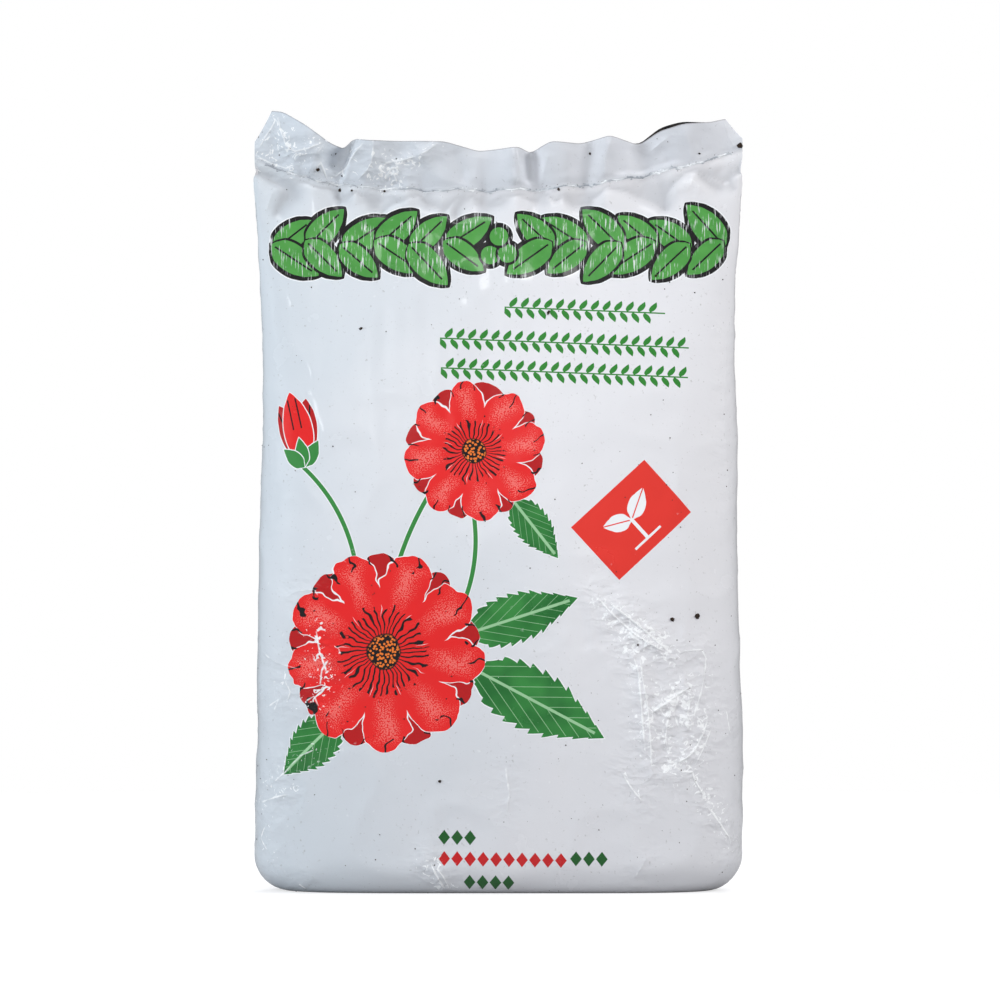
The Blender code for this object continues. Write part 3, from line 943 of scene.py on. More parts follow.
    def write_maps(self, mesh: bpy.types.Mesh, points: np.ndarray, film: np.ndarray) -> None:
        """Writes the film map in metres, and a bake map that gives the front most room.

        Args:
            mesh: The film's mesh.
            points: Points, ring by ring.
            film: Distance round the film, ring by ring.
        """
        columns = points.shape[1]
        corners = np.zeros(len(mesh.loops), dtype=np.int64)
        mesh.loops.foreach_get("vertex_index", corners)
        ring, column = corners // columns, corners % columns
        starts = np.zeros(len(mesh.polygons), dtype=np.int64)
        totals = np.zeros(len(mesh.polygons), dtype=np.int64)
        mesh.polygons.foreach_get("loop_start", starts)
        mesh.polygons.foreach_get("loop_total", totals)
        owner = np.repeat(np.arange(len(starts)), totals)
        widest = np.zeros(len(starts), dtype=np.int64)
        np.maximum.at(widest, owner, column)
        wraps = (column == 0) & (widest[owner] == columns - 1) & (totals[owner] == 4)
        run = film[ring, column]
        run = np.where(wraps, run + 4 * np.abs(film[ring, 0]), run)
        flat = np.stack([run, points[ring, column, 2]], axis=1)
        mesh.uv_layers.new(name="film").data.foreach_set("uv", flat.ravel())
        share = np.append(self.rounds(), 1.0)[np.where(wraps, columns, column)]
        front = self.bake_front_share
        across = np.where(share <= 0.5, share * 2 * front, front + (share - 0.5) * 2 * (1 - front))
        up = self.bake_up[0] + self.bake_up[1] * ring / points.shape[0]
        capped = totals[owner] != 4
        across = np.where(capped, 0.5 + points[ring, column, 0] * 0.5, across)
        cap = np.where(share <= 0.5, *self.bake_caps)
        base = np.where(ring == 0, self.bake_base + points[ring, column, 1] * 0.5, cap)
        up = np.where(capped, base, up)
        bake = np.stack([across, up], axis=1)
        mesh.uv_layers.new(name="OFBake").data.foreach_set("uv", bake.ravel())
        mesh.uv_layers.active = mesh.uv_layers["film"]


def add_node(
    tree: bpy.types.NodeTree, kind: str, links: Links | None = None, **settings: object
) -> bpy.types.Node:
    """Adds a node to a tree.

    Args:
        tree: The tree.
        kind: The node's type.
        links: What goes into its inputs, by name or index: a socket, a node or a plain value. A node
            stands for its first output.
        **settings: Properties to set on it.

    Returns:
        The node.
    """
    node = tree.nodes.new(kind)
    for name, value in settings.items():
        setattr(node, name, value)
    for name, value in (links or {}).items():
        source = value.outputs[0] if isinstance(value, bpy.types.Node) else value
        if isinstance(source, bpy.types.NodeSocket):
            tree.links.new(source, node.inputs[name])
        else:
            node.inputs[name].default_value = source
    return node


class Signal:
    """A value in a node tree that takes the usual signs of arithmetic."""

    def __init__(self, graph: Graph, socket: bpy.types.NodeSocket) -> None:
        """Holds the socket that the value comes from."""
        self.graph = graph
        self.socket = socket

    def __add__(self, other: Signal | float) -> Signal:
        """Sum."""
        return self.graph.math("ADD", self, other)

    def __sub__(self, other: Signal | float) -> Signal:
        """Difference."""
        return self.graph.math("SUBTRACT", self, other)

    def __rsub__(self, other: Signal | float) -> Signal:
        """Difference, with this value on the right."""
        return self.graph.math("SUBTRACT", other, self)

    def __mul__(self, other: Signal | float) -> Signal:
        """Product."""
        return self.graph.math("MULTIPLY", self, other)

    def __abs__(self) -> Signal:
        """Size without sign."""
        return self.graph.math("ABSOLUTE", self)

    __radd__ = __add__
    __rmul__ = __mul__

    def low(self, other: Signal | float) -> Signal:
        """The smaller of two values, which is where two shapes overlap."""
        return self.graph.math("MINIMUM", self, other)

    def high(self, other: Signal | float) -> Signal:
        """The larger of two values, which joins two shapes."""
        return self.graph.math("MAXIMUM", self, other)

    def part(self) -> Signal:
        """What is left after the whole number."""
        return self.graph.math("FRACT", self)

    def mask(self, grow: float = 0.0, soft: float = 0.00012) -> Signal:
        """1 where the value is over -grow, and 0 elsewhere, with a soft edge."""
        return self.graph.math("MULTIPLY_ADD", self, 1.0 / soft, grow / soft + 0.5, clamp=True)


@dataclass(frozen=True)
class Spot:
    """Where a motif lies on the film: its origin, turn in degrees, length and half width."""

    x: float
    z: float
    turn: float = 0.0
    length: float = 1.0
    width: float = 1.0


class SpanGroup:
    """The node group of a crease's straight stretch."""

    NAME = "crease_span"
    INPUTS = (
        "Across", "Up", "Along across", "Along up", "Along shift",
        "Aside across", "Aside up", "Aside shift", "Start", "Length", "Share",
    )
    END_SLOPE = 16.0
    FADE_SLOPE = 7.0

    @classmethod
    def tree(cls) -> bpy.types.NodeTree:
        """The group, made on its first use."""
        return bpy.data.node_groups.get(cls.NAME) or cls.make()

    @classmethod
    def make(cls) -> bpy.types.NodeTree:
        """Makes the group: a tent across the line, cut at its ends and faded over the crease."""
        tree = bpy.data.node_groups.new(cls.NAME, "ShaderNodeTree")
        for name in cls.INPUTS:
            tree.interface.new_socket(name, in_out="INPUT", socket_type="NodeSocketFloat")
        tree.interface.new_socket("Ridge", in_out="OUTPUT", socket_type="NodeSocketFloat")
        start = tree.nodes.new("NodeGroupInput")
        given = {name: start.outputs[name] for name in cls.INPUTS}

        def step(operation: str, *values: object, clamp: bool = False) -> bpy.types.Node:
            """Adds one step of arithmetic."""
            links = dict(enumerate(values))
            return add_node(tree, "ShaderNodeMath", links, operation=operation, use_clamp=clamp)

        low = step("MULTIPLY_ADD", given["Up"], given["Along up"], given["Along shift"])
        along = step("MULTIPLY_ADD", given["Across"], given["Along across"], low)
        low = step("MULTIPLY_ADD", given["Up"], given["Aside up"], given["Aside shift"])
        aside = step("MULTIPLY_ADD", given["Across"], given["Aside across"], low)
        tent = step("SUBTRACT", 1.0, step("ABSOLUTE", aside), clamp=True)
        ends = step("MINIMUM", along, step("SUBTRACT", 1.0, along))
        inside = step("MULTIPLY_ADD", ends, cls.END_SLOPE, 1.0, clamp=True)
        place = step("MULTIPLY_ADD", along, given["Length"], given["Start"])
        hump = step("MULTIPLY", place, step("SUBTRACT", 1.0, place))
        fade = step("MULTIPLY", hump, cls.FADE_SLOPE, clamp=True)
        ridge = step("MULTIPLY", step("MULTIPLY", tent, inside), step("MULTIPLY", fade, given["Share"]))
        add_node(tree, "NodeGroupOutput", {0: ridge})
        return tree


class Graph:
    """Writes the nodes of one material.

    solid gives places in the piece's own space. A printed material also has the film map, as a
    whole for textures and as its coordinates across and up.
    """

    def __init__(self, name: str, zone: Zone | None = None) -> None:
        """Makes an empty material.

        Args:
            name: Name of the material.
            zone: Part of the film that it covers.
        """
        self.zone = zone
        self.material = bpy.data.materials.new(name)
        self.material.use_nodes = True
        self.tree = self.material.node_tree
        self.shader = self.tree.nodes["Principled BSDF"]
        if zone:
            self.whole = self.read(0, "ShaderNodeUVMap", uv_map="film")
            parts = self.add("ShaderNodeSeparateXYZ", {0: self.whole})
            self.across, self.up = (Signal(self, parts.outputs[axis]) for axis in range(2))
        self.solid = self.read("Object", "ShaderNodeTexCoord")

    def add(self, kind: str, links: Links | None = None, **settings: object) -> bpy.types.Node:
        """Adds a node whose inputs may also be signals or inks."""
        sources = {}
        for name, value in (links or {}).items():
            value = value.socket if isinstance(value, Signal) else value
            sources[name] = value.value if isinstance(value, Ink) else value
        return add_node(self.tree, kind, sources, **settings)

    def read(self, output: int | str, kind: str, links: Links | None = None, **settings: object) -> Signal:
        """Adds a node and gives one of its outputs."""
        return Signal(self, self.add(kind, links, **settings).outputs[output])

    def put(self, name: str, value: Signal | float) -> None:
        """Links a signal to an input of the shader, or writes a plain value into it."""
        if isinstance(value, Signal):
            self.tree.links.new(value.socket, self.shader.inputs[name])
        else:
            self.shader.inputs[name].default_value = value

    def math(self, operation: str, *values: Signal | float, clamp: bool = False) -> Signal:
        """Adds one step of arithmetic."""
        return self.read(0, "ShaderNodeMath", dict(enumerate(values)), operation=operation, use_clamp=clamp)

    def curve(self, value: Signal, points: Sequence[Pair]) -> Signal:
        """Reads a value through a smooth curve.

        Args:
            value: The value to look up, from 0 to 1.
            points: Points of the curve, from left to right.

        Returns:
            The height of the curve.
        """
        node = self.add("ShaderNodeFloatCurve", {"Value": value})
        line = node.mapping.curves[0]
        node.mapping.use_clip = False
        node.mapping.extend = "HORIZONTAL"
        for point, place in zip(line.points, (points[0], points[-1])):
            point.location = place
        for place in points[1:-1]:
            line.points.new(*place)
        node.mapping.update()
        return Signal(self, node.outputs[0])

    def local(self, spot: Spot) -> tuple[Signal, Signal]:
        """Coordinates along and across a motif, in shares of its length and half width."""
        cosine, sine = math.cos(math.radians(spot.turn)), math.sin(math.radians(spot.turn))
        found = []
        for across, up, size in ((cosine, sine, spot.length), (-sine, cosine, spot.width)):
            shift = -(spot.x * across + spot.z * up) / size
            part = self.math("MULTIPLY_ADD", self.up, up / size, shift)
            found.append(self.math("MULTIPLY_ADD", self.across, across / size, part))
        return found[0], found[1]

    def span(self, first: Pair, last: Pair, stretch: Pair, half: float, share: float) -> Signal:
        """A narrow ridge between two points, as one node that shares its inside with all others.

        Args:
            first: Where the ridge starts.
            last: Where it ends.
            stretch: Where it starts and stops on the whole crease, from 0 to 1.
            half: Half the ridge's width.
            share: Height of its crest.

        Returns:
            The height.
        """
        run = np.subtract(last, first)
        length = float(math.hypot(*run))
        unit = run / length
        values = {
            "Along across": unit[0] / length,
            "Along up": unit[1] / length,
            "Along shift": -float(unit @ first) / length,
            "Aside across": -unit[1] / half,
            "Aside up": unit[0] / half,
            "Aside shift": (unit[1] * first[0] - unit[0] * first[1]) / half,
            "Start": stretch[0],
            "Length": stretch[1] - stretch[0],
            "Share": share,
        }
        links = {"Across": self.across, "Up": self.up}
        links |= {name: float(value) for name, value in values.items()}
        return self.read(0, "ShaderNodeGroup", links, node_tree=SpanGroup.tree())

    def attribute(self, name: str) -> Signal:
        """A value that the mesh holds at its points."""
        return self.read("Fac", "ShaderNodeAttribute", attribute_name=name)

    def noise(
        self,
        vector: Signal,
        scale: float,
        detail: float = 2.0,
        stretch: Pair | None = None,
        twist: float = 0.0,
    ) -> Signal:
        """Smooth noise from 0 to 1, stretched along the film or twisted if asked."""
        if stretch:
            vector = self.read(0, "ShaderNodeMapping", {"Scale": (*stretch, 1.0), "Vector": vector})
        links = {"Vector": vector, "Scale": scale, "Detail": detail, "Distortion": twist}
        return self.read(0, "ShaderNodeTexNoise", links)

    def dots(self, vector: Signal, pitch: float) -> Signal:
        """Distance to the nearest of many scattered dots, in shares of their pitch."""
        links = {"Vector": vector, "Scale": 1.0 / pitch}
        return self.read("Distance", "ShaderNodeTexVoronoi", links, voronoi_dimensions="2D")

    def facets(self, vector: Signal, pitch: float, turn: float, stretch: float) -> Signal:
        """Cones in irregular cells with sharp valleys between them, stretched one way."""
        links = {"Vector": vector, "Scale": 0.35 / pitch}
        bend = self.read("Color", "ShaderNodeTexNoise", links, noise_dimensions="2D")
        links = {0: bend, 1: (pitch * 1.6,) * 3, 2: vector}
        shift = self.read(0, "ShaderNodeVectorMath", links, operation="MULTIPLY_ADD")
        turned = (0.0, 0.0, math.radians(turn))
        links = {"Vector": shift, "Rotation": turned, "Scale": (1.0 / stretch, 1.0, 1.0)}
        return self.dots(self.read(0, "ShaderNodeMapping", links), pitch)

    def mix(self, mask: Signal | float, under: Signal | Colour | Ink, over: Signal | Colour | Ink) -> Signal:
        """Lays one colour over another where the mask is 1."""
        return self.read(2, "ShaderNodeMix", {0: mask, 6: under, 7: over}, data_type="RGBA")


# Half width of a leaf or petal at places along it, below 0 where it has ended
LEAF_OUTLINE = (
    (-0.1, -0.5), (0.0, 0.0), (0.10, 0.42), (0.32, 0.96), (0.50, 0.98),
    (0.75, 0.62), (0.92, 0.22), (1.0, 0.0), (1.1, -0.4),
)
PLUMP_OUTLINE = (
    (-0.1, -0.8), (0.0, 0.0), (0.08, 0.46), (0.28, 0.95), (0.48, 1.0),
    (0.72, 0.78), (0.90, 0.36), (1.0, 0.0), (1.1, -0.9),
)
PETAL_OUTLINE = (
    (0.0, 0.0), (0.12, 0.20), (0.40, 0.58), (0.66, 0.94), (0.82, 0.96), (0.94, 0.62), (1.0, -0.10),
)
OVERSHOOT = 0.1


@dataclass(frozen=True)
class Bloom:
    """A printed daisy: middle, radius, turn and number of front petals."""

    x: float
    z: float
    radius: float
    turn: float
    petals: int


CARD = Spot(0.0658, 0.185, 42.6, 0.0247, 0.0176)
BLOOMS = (Bloom(-0.0568, 0.1200, 0.0500, 12.0, 9), Bloom(-0.0120, 0.2190, 0.0350, 31.0, 8))


@dataclass(frozen=True)
class FilmFinish:
    """Gloss white film with its inks, creases and fine crinkles."""

    roughness: float = 0.25
    rough_spread: float = 0.16
    specular: float = 0.5
    coat: float = 0.55
    coat_roughness: float = 0.05
    garland_pairs: int = 6
    garland_pitch: float = 0.0172
    garland_height: float = 0.3215
    garland_leaf: float = 0.0270
    outline: float = 0.0024
    halo: float = 0.0006
    hair: float = 0.0005
    crinkle_pitch: float = 0.0062
    crinkle_height: float = 0.0017
    crease_half: float = 0.0008
    crease_top: float = 0.00035
    weld_dirt: float = 0.0045
    hollow_shade: float = 0.40
    band_shade: float = 0.26
    crinkle_floor: float = 0.02
    mottle_scale: float = 300.0
    mottle_twist: float = 1.4
    mottle_gain: float = 0.30
    mottle_level: float = 0.79
    drift_scale: float = 9.0
    dust_scale: float = 620.0
    rub_scale: float = 38.0
    whitening_and_glint_scale: float = 300.0
    speck_scale: float = 900.0
    glint_share: float = 0.85
    dust_share: float = 0.35
    scuff_share: float = 0.75
    sheen_share: float = 0.62
    whitening_and_glint_share: float = 0.9
    weld_shade: float = 0.28
    weld_shade_reach: float = 0.0016
    edge_shade: float = 0.35
    edge_reach: float = 0.00040
    berry: float = 0.0046
    rib: float = 0.00045
    # Share of painted shade at places up the bag, 1 being 0.4 m: greyer towards the foot and a little at the
    # weld
    height_shade: tuple[Pair, ...] = (
        (0.0, 0.24), (0.06, 0.20), (0.20, 0.14), (0.40, 0.02), (0.62, 0.0),
        (0.80, 0.0), (0.87, 0.05), (0.91, 0.0), (1.0, 0.0),
    )
    shape: FilmShape = field(default_factory=FilmShape)

    def make_all(self, zones: Sequence[Zone]) -> list[bpy.types.Material]:
        """Makes the material of each zone, and last the one of the unprinted film."""
        printed = [self.make(f"film_print_{number:02d}", zone) for number, zone in enumerate(zones)]
        return [*printed, self.make("film_plain", Zone(9.0, 9.0, 9.0, 9.0))]

    def make(self, name: str, zone: Zone) -> bpy.types.Material:
        """Draws the film's colour, roughness and fine relief.

        Args:
            name: Name of the material.
            zone: Part of the film that it covers.

        Returns:
            The material.
        """
        graph = Graph(name, zone)
        colour = self.bare_film(graph)
        for draw in (self.garland, self.sprigs, self.foliage, self.blooms, self.panel, self.marks):
            colour = draw(graph, colour)
        lines = self.crisp_lines(graph)
        relief, glints = self.crinkles(graph)
        colour = self.whitening_dirt_and_painted_shade(graph, lines, colour)
        # painted highlight: the crinkles' glints are painted white into the base colour
        graph.put("Base Color", graph.mix(glints * self.glint_share, colour, Ink.WHITENING_AND_GLINT))
        graph.put("Roughness", self.gloss(graph))
        graph.put("Specular IOR Level", self.specular)
        graph.put("Coat Weight", self.coat)
        graph.put("Coat Roughness", self.coat_roughness)
        relief = relief + lines * self.crease_top if lines else relief
        graph.put("Normal", graph.read(0, "ShaderNodeBump", {"Distance": 1.0, "Height": relief}))
        return graph.material

    def bare_film(self, graph: Graph) -> Signal:
        """White film, a little uneven and dusty, with painted shade: darker and bluer towards the left side,
        and greyer towards the foot and in a thin band at the weld.
        """
        drift = graph.noise(graph.solid, self.drift_scale, 3.0)
        # painted shade: the film turns darker and bluer towards the left side
        side = graph.math("MULTIPLY_ADD", graph.across, 3.4, drift * 0.6)
        colour = graph.mix(side.mask(-0.16, 0.5), Ink.FILM_LEFT_SHADE, Ink.FILM_WARM)
        # painted shade: greyer towards the foot and a little at the weld
        height_shade = graph.curve(graph.up * 2.5, self.height_shade)
        colour = graph.mix(height_shade, colour, Ink.FILM_HEIGHT_SHADE)
        dust = graph.noise(graph.solid, self.dust_scale, 4.0)
        return graph.mix(dust.mask(-0.70, 0.10) * self.dust_share, colour, ink(120, 116, 108))

    def rimmed(self, graph: Graph, shape: Signal, colour: Signal, tint: Signal | Ink) -> Signal:
        """Lays a shape with the hair of bare film that parts it from the inks under it."""
        colour = graph.mix(shape.mask(self.hair), colour, Ink.HALO)
        return graph.mix(shape.mask(), colour, tint)

    def gloss(self, graph: Graph) -> Signal:
        """Roughness, a little duller where the film is rubbed."""
        rubbed = graph.noise(graph.solid, self.rub_scale, 5.0)
        return rubbed * self.rough_spread + (self.roughness - self.rough_spread / 2)

    def leaf(
        self, graph: Graph, spot: Spot, outline: Sequence[Pair] = LEAF_OUTLINE, teeth: int = 0
    ) -> tuple[Signal, Signal, Signal]:
        """A leaf shape.

        Args:
            graph: Where the nodes go.
            spot: Where the leaf lies, its stalk end first.
            outline: Half width along the leaf, in shares.
            teeth: Number of teeth on each edge.

        Returns:
            Distance into the leaf in metres, place along it and distance from its rib.
        """
        along, aside = graph.local(spot)
        stretch = 1.0 + 2 * OVERSHOOT
        points = [((place + OVERSHOOT) / stretch, half) for place, half in outline]
        width = graph.curve(along * (1.0 / stretch) + OVERSHOOT / stretch, points)
        if teeth:
            width = width * (1.0 - (along * float(teeth)).part() * 0.17)
        aside = abs(aside)
        return (width - aside) * spot.width, along, aside * spot.width

    @staticmethod
    def reaches(graph: Graph, spot: Spot, beside: float) -> bool:
        """Whether a leaf or stem may show in the graph's zone."""
        turn = math.radians(spot.turn)
        x = spot.x + math.cos(turn) * spot.length / 2
        z = spot.z + math.sin(turn) * spot.length / 2
        across = abs(math.cos(turn)) * spot.length / 2 + beside + 0.002
        up = abs(math.sin(turn)) * spot.length / 2 + beside + 0.002
        return graph.zone.meets(x, z, across, up)

    def garland_spots(self) -> list[Spot]:
        """Leaves of a laurel that runs from both sides to the middle, outermost first."""
        spots = []
        for number in range(self.garland_pairs):
            far = 0.1130 - number * self.garland_pitch
            for side in (-1.0, 1.0):
                for up in (1.0, -1.0):
                    lean = 40.0 + 7.0 * math.sin(2.3 * number + side + 0.6 * up)
                    size = self.garland_leaf * (1.0 + 0.08 * math.sin(1.7 * number + 2.0 * side * up))
                    turn = up * lean if side < 0 else 180.0 - up * lean
                    x = self.shape.across_film(side * far + 0.0005 * up, self.garland_height)
                    z = self.garland_height - 0.0016 * up + 0.0010 * math.sin(2.9 * number + side)
                    spots.append(Spot(x, z, turn, size, size * 0.245))
        return spots

    def garland(self, graph: Graph, colour: Signal) -> Signal:
        """A laurel of plump leaves with dark outlines, and berries in its middle."""
        shown = [spot for spot in self.garland_spots() if self.reaches(graph, spot, spot.width + 0.002)]
        parts = [self.leaf(graph, spot, PLUMP_OUTLINE) for spot in shown]
        middle = self.garland_height
        for x, z in ((-0.0042, middle - 0.0048), (0.0044, middle - 0.0040), (0.0002, middle + 0.0046)):
            if graph.zone.meets(x, z, 0.008, 0.008):
                across, up = graph.local(Spot(x, z))
                ball = self.berry - graph.math("SQRT", across * across + up * up)
                parts.append((ball, None, None))
        if not parts:
            return colour
        body = parts[0][0]
        for inside, _, _ in parts[1:]:
            body = body.high(inside)
        colour = graph.mix(body.mask(self.outline + self.halo), colour, Ink.HALO)
        colour = graph.mix(body.mask(self.outline), colour, Ink.BLACK)
        shade = graph.noise(graph.whole, 70.0, 3.0)
        green = graph.mix(shade.mask(-0.5, 0.4), Ink.GARLAND_DEEP, Ink.GARLAND)
        for inside, along, aside in parts:
            colour = graph.mix(inside.mask(self.outline * 0.55), colour, Ink.BLACK)
            colour = graph.mix(inside.mask(), colour, green)
            if along:
                rib = (self.rib - aside).low((0.86 - along) * 0.01).low((along - 0.08) * 0.01)
                colour = graph.mix(rib.mask(), colour, Ink.BLACK)
        streak = graph.noise(graph.whole, 1.0, 4.0, (1500.0, 110.0))
        where = graph.noise(graph.whole, 55.0, 1.0)
        scuff = (streak - 0.60).low((where - 0.46) * 0.6).mask(0.0, 0.05)
        return graph.mix(scuff.low(body.mask(self.outline)) * self.scuff_share, colour, Ink.HALO)

    def sprigs(self, graph: Graph, colour: Signal) -> Signal:
        """Thin sprigs with small leaflets, one under the other."""
        lean, pitch, leaflet, half, stalk_half = 0.55, 0.0058, 0.0056, 0.0018, 0.00035
        total = None
        for x, z, length in ((0.0030, 0.2905, 0.0800), (-0.0290, 0.2750, 0.1240), (-0.0285, 0.2602, 0.1230)):
            start = self.shape.across_film(x, z)
            if not graph.zone.meets(start + length / 2, z, length / 2, leaflet * 2):
                continue
            along, aside = graph.local(Spot(start, z, -2.2))
            below = graph.math("LESS_THAN", aside, 0.0)
            height = abs(aside)
            place = along * (1.0 / pitch) + below * 0.5 - height * (lean / pitch)
            cell = place.part() - 0.5
            width = graph.curve(height * (1.0 / leaflet), LEAF_OUTLINE[1:-1]) * half - 0.00015
            leaves = (width - abs(cell) * pitch).low(place * 0.01).low((int(length / pitch) - place) * 0.01)
            stalk = stalk_half - height
            within = along.low(length - along)
            sprig = leaves.high(stalk).low(within)
            total = sprig if total is None else total.high(sprig)
        return graph.mix(total.mask(), colour, Ink.SPRIG) if total else colour

    def foliage(self, graph: Graph, colour: Signal) -> Signal:
        """Stems, toothed leaves and the bud, under the blooms."""
        for spot, bend in (
            (Spot(-0.0568, 0.1200, 68.0, 0.1120, 1.0), 0.0100),
            (Spot(-0.0690, 0.1500, 118.0, 0.0760, 1.0), -0.0090),
            (Spot(-0.0150, 0.2000, 262.0, 0.0720, 1.0), 0.0080),
        ):
            if not self.reaches(graph, spot, 0.012):
                continue
            along, aside = graph.local(spot)
            arch = along * (1.0 - along) * (4.0 * bend)
            stem = (0.0011 - abs(aside - arch)).low((1.0 - along) * 0.1).low(along * 0.1)
            colour = graph.mix(stem.mask(0.0004), colour, Ink.HALO)
            colour = graph.mix(stem.mask(), colour, Ink.LEAF)
        for spot in (
            Spot(-0.0150, 0.1130, -28.0, 0.0760, 0.0165),
            Spot(-0.0180, 0.1280, 18.0, 0.0600, 0.0130),
            Spot(-0.0780, 0.0880, 224.0, 0.0420, 0.0125),
            Spot(0.0060, 0.1960, -52.0, 0.0380, 0.0095),
        ):
            if not self.reaches(graph, spot, spot.width):
                continue
            inside, along, aside = self.leaf(graph, spot, LEAF_OUTLINE, 11)
            shade = graph.noise(graph.whole, 55.0, 2.0)
            green = graph.mix(shade.mask(-0.5, 0.3), Ink.LEAF_DEEP, Ink.LEAF)
            colour = self.rimmed(graph, inside, colour, green)
            vein = ((along - aside * (0.42 / spot.width)) * 7.0).part()
            veins = (abs(vein - 0.5) - 0.475) * 0.006
            rib = (0.0007 - aside).low((0.93 - along) * 0.02)
            colour = graph.mix(rib.high(veins).mask().low(inside.mask(-0.0007)), colour, Ink.LEAF_PALE)
        return self.bud(graph, colour)

    def bud(self, graph: Graph, colour: Signal) -> Signal:
        """A closed bud: three red petals in a green cup."""
        x, z = -0.0970, 0.2150
        if not graph.zone.meets(x, z + 0.016, 0.020, 0.022):
            return colour
        for turn, length, width, tint in (
            (118.0, 0.0300, 0.0066, Ink.PETAL_DEEP),
            (88.0, 0.0300, 0.0066, Ink.PETAL_DEEP),
            (103.0, 0.0340, 0.0078, Ink.PETAL),
        ):
            inside, along, aside = self.leaf(graph, Spot(x, z, turn, length, width), PLUMP_OUTLINE)
            colour = self.rimmed(graph, inside, colour, tint)
            stroke = (0.0004 - abs(aside - 0.0022)).low((along - 0.45) * 0.01).low((0.9 - along) * 0.01)
            colour = graph.mix(stroke.mask().low(inside.mask()), colour, Ink.BLACK)
        for turn in (62.0, 103.0, 144.0):
            spot = Spot(x + 0.0006, z - 0.0040, turn, 0.0150, 0.0036)
            inside, _, _ = self.leaf(graph, spot)
            colour = self.rimmed(graph, inside, colour, Ink.LEAF)
        return colour

    def blooms(self, graph: Graph, colour: Signal) -> Signal:
        """The daisies that show in the graph's zone."""
        for bloom in BLOOMS:
            if graph.zone.meets(bloom.x, bloom.z, bloom.radius * 1.1, bloom.radius * 1.1):
                colour = self.bloom(graph, bloom, colour)
        return colour

    def bloom(self, graph: Graph, bloom: Bloom, colour: Signal) -> Signal:
        """A red daisy with two rows of petals, dark strokes and a stippled sheen.

        Args:
            graph: Where the nodes go.
            bloom: The daisy.
            colour: What lies under it.

        Returns:
            The colour with the daisy over it.
        """
        across, up = graph.local(Spot(bloom.x, bloom.z, bloom.turn, bloom.radius, bloom.radius))
        far = graph.math("SQRT", across * across + up * up)
        wander = graph.noise(graph.whole, 70.0, 2.0) - 0.5
        turn = graph.math("ARCTAN2", up, across) * (bloom.petals / (2 * math.pi)) + wander * 0.45
        far = far + wander * 0.09
        spread = 2 * math.pi / bloom.petals
        full = 0.5 * spread * 0.68
        front_side = turn.part() - 0.5
        rear_side = (turn + 0.5).part() - 0.5
        front = (graph.curve(far, PETAL_OUTLINE) * full - abs(front_side) * far * spread) * bloom.radius
        rear = (graph.curve(far * 1.03, PETAL_OUTLINE) * full - abs(rear_side) * far * spread) * bloom.radius
        colour = graph.mix(front.high(rear).mask(self.hair), colour, Ink.HALO)
        colour = graph.mix(rear.mask(), colour, Ink.PETAL_DEEP)
        colour = self.rimmed(graph, front, colour, Ink.PETAL)
        light = ((0.34 - abs(front_side)) * 1.6).low((far - 0.34) * 1.5).low((0.98 - far) * 2.5)
        grains = (light * 1.1 - graph.dots(graph.whole, 0.00075)).mask(0.0, 0.10)
        colour = graph.mix(grains.low(front.mask(-0.0004)) * self.sheen_share, colour, Ink.STIPPLE)
        length = graph.noise(graph.whole, 260.0, 1.0) * 0.34
        tip_lines = (0.055 - abs((turn * 3.0 + wander).part() - 0.5)) * (0.33 * spread * bloom.radius)
        tip_band = (far - (1.02 - length)) * 0.012
        strokes = tip_lines.low(tip_band)
        core_lines = 0.16 - abs((turn * 4.0 + wander * 2.0).part() - 0.5)
        core_lines = core_lines * (0.25 * spread * bloom.radius) * 0.4
        core_band = ((0.26 + length) - far) * 0.012
        strokes = strokes.high(core_lines.low(core_band))
        colour = graph.mix(strokes.mask().low(front.high(rear).mask()), colour, Ink.BLACK)
        colour = graph.mix((0.175 - far).mask(0.0, 0.01), colour, Ink.BLACK)
        pollen = (0.36 - graph.dots(graph.whole, 0.0016)).low((0.16 - far) * 3.0)
        return graph.mix(pollen.mask(0.0, 0.05), colour, Ink.POLLEN)

    def panel(self, graph: Graph, colour: Signal) -> Signal:
        """A turned red panel with a white sprout on it."""
        x = self.shape.across_film(CARD.x, CARD.z)
        if not graph.zone.meets(x, CARD.z, 0.032, 0.032):
            return colour
        along, aside = graph.local(Spot(x, CARD.z, CARD.turn))
        card = (CARD.length - abs(along)).low(CARD.width - abs(aside))
        colour = graph.mix(card.mask(), colour, Ink.PANEL)
        sprout = None
        for turn, length in ((CARD.turn + 152.0, 0.0150), (CARD.turn + 28.0, 0.0170)):
            inside, _, rib = self.leaf(graph, Spot(x, CARD.z, turn, length, 0.0044))
            inside = inside.low(rib - 0.0003)
            sprout = inside if sprout is None else sprout.high(inside)
        stalk = (0.0009 - abs(along)).low(aside + 0.0120).low(0.0010 - aside)
        ground = (0.0085 - abs(along)).low(0.0006 - abs(aside + 0.0120))
        sprout = sprout.high(stalk).high(ground)
        return graph.mix(sprout.mask(), colour, Ink.HALO)

    def marks(self, graph: Graph, colour: Signal) -> Signal:
        """Short rows of small lozenges near the foot."""
        for x, z, count, tint in (
            (-0.0300, 0.0285, 3, Ink.MARK_GREEN),
            (-0.0300, 0.0180, 10, Ink.MARK_RED),
            (0.0350, 0.0178, 3, Ink.MARK_GREEN),
            (-0.0175, 0.0062, 4, Ink.MARK_GREEN),
        ):
            pitch, half, slope = 0.0064, 0.0029, 0.78
            if not graph.zone.meets(x + count * pitch / 2, z, count * pitch / 2, 0.006):
                continue
            along, aside = graph.local(Spot(x, z, -1.0))
            side = abs((along * (1.0 / pitch)).part() - 0.5) * pitch
            lozenge = half - (side + abs(aside) * slope)
            row = lozenge.low(along).low(count * pitch - along)
            colour = graph.mix(row.mask(), colour, tint)
        return colour

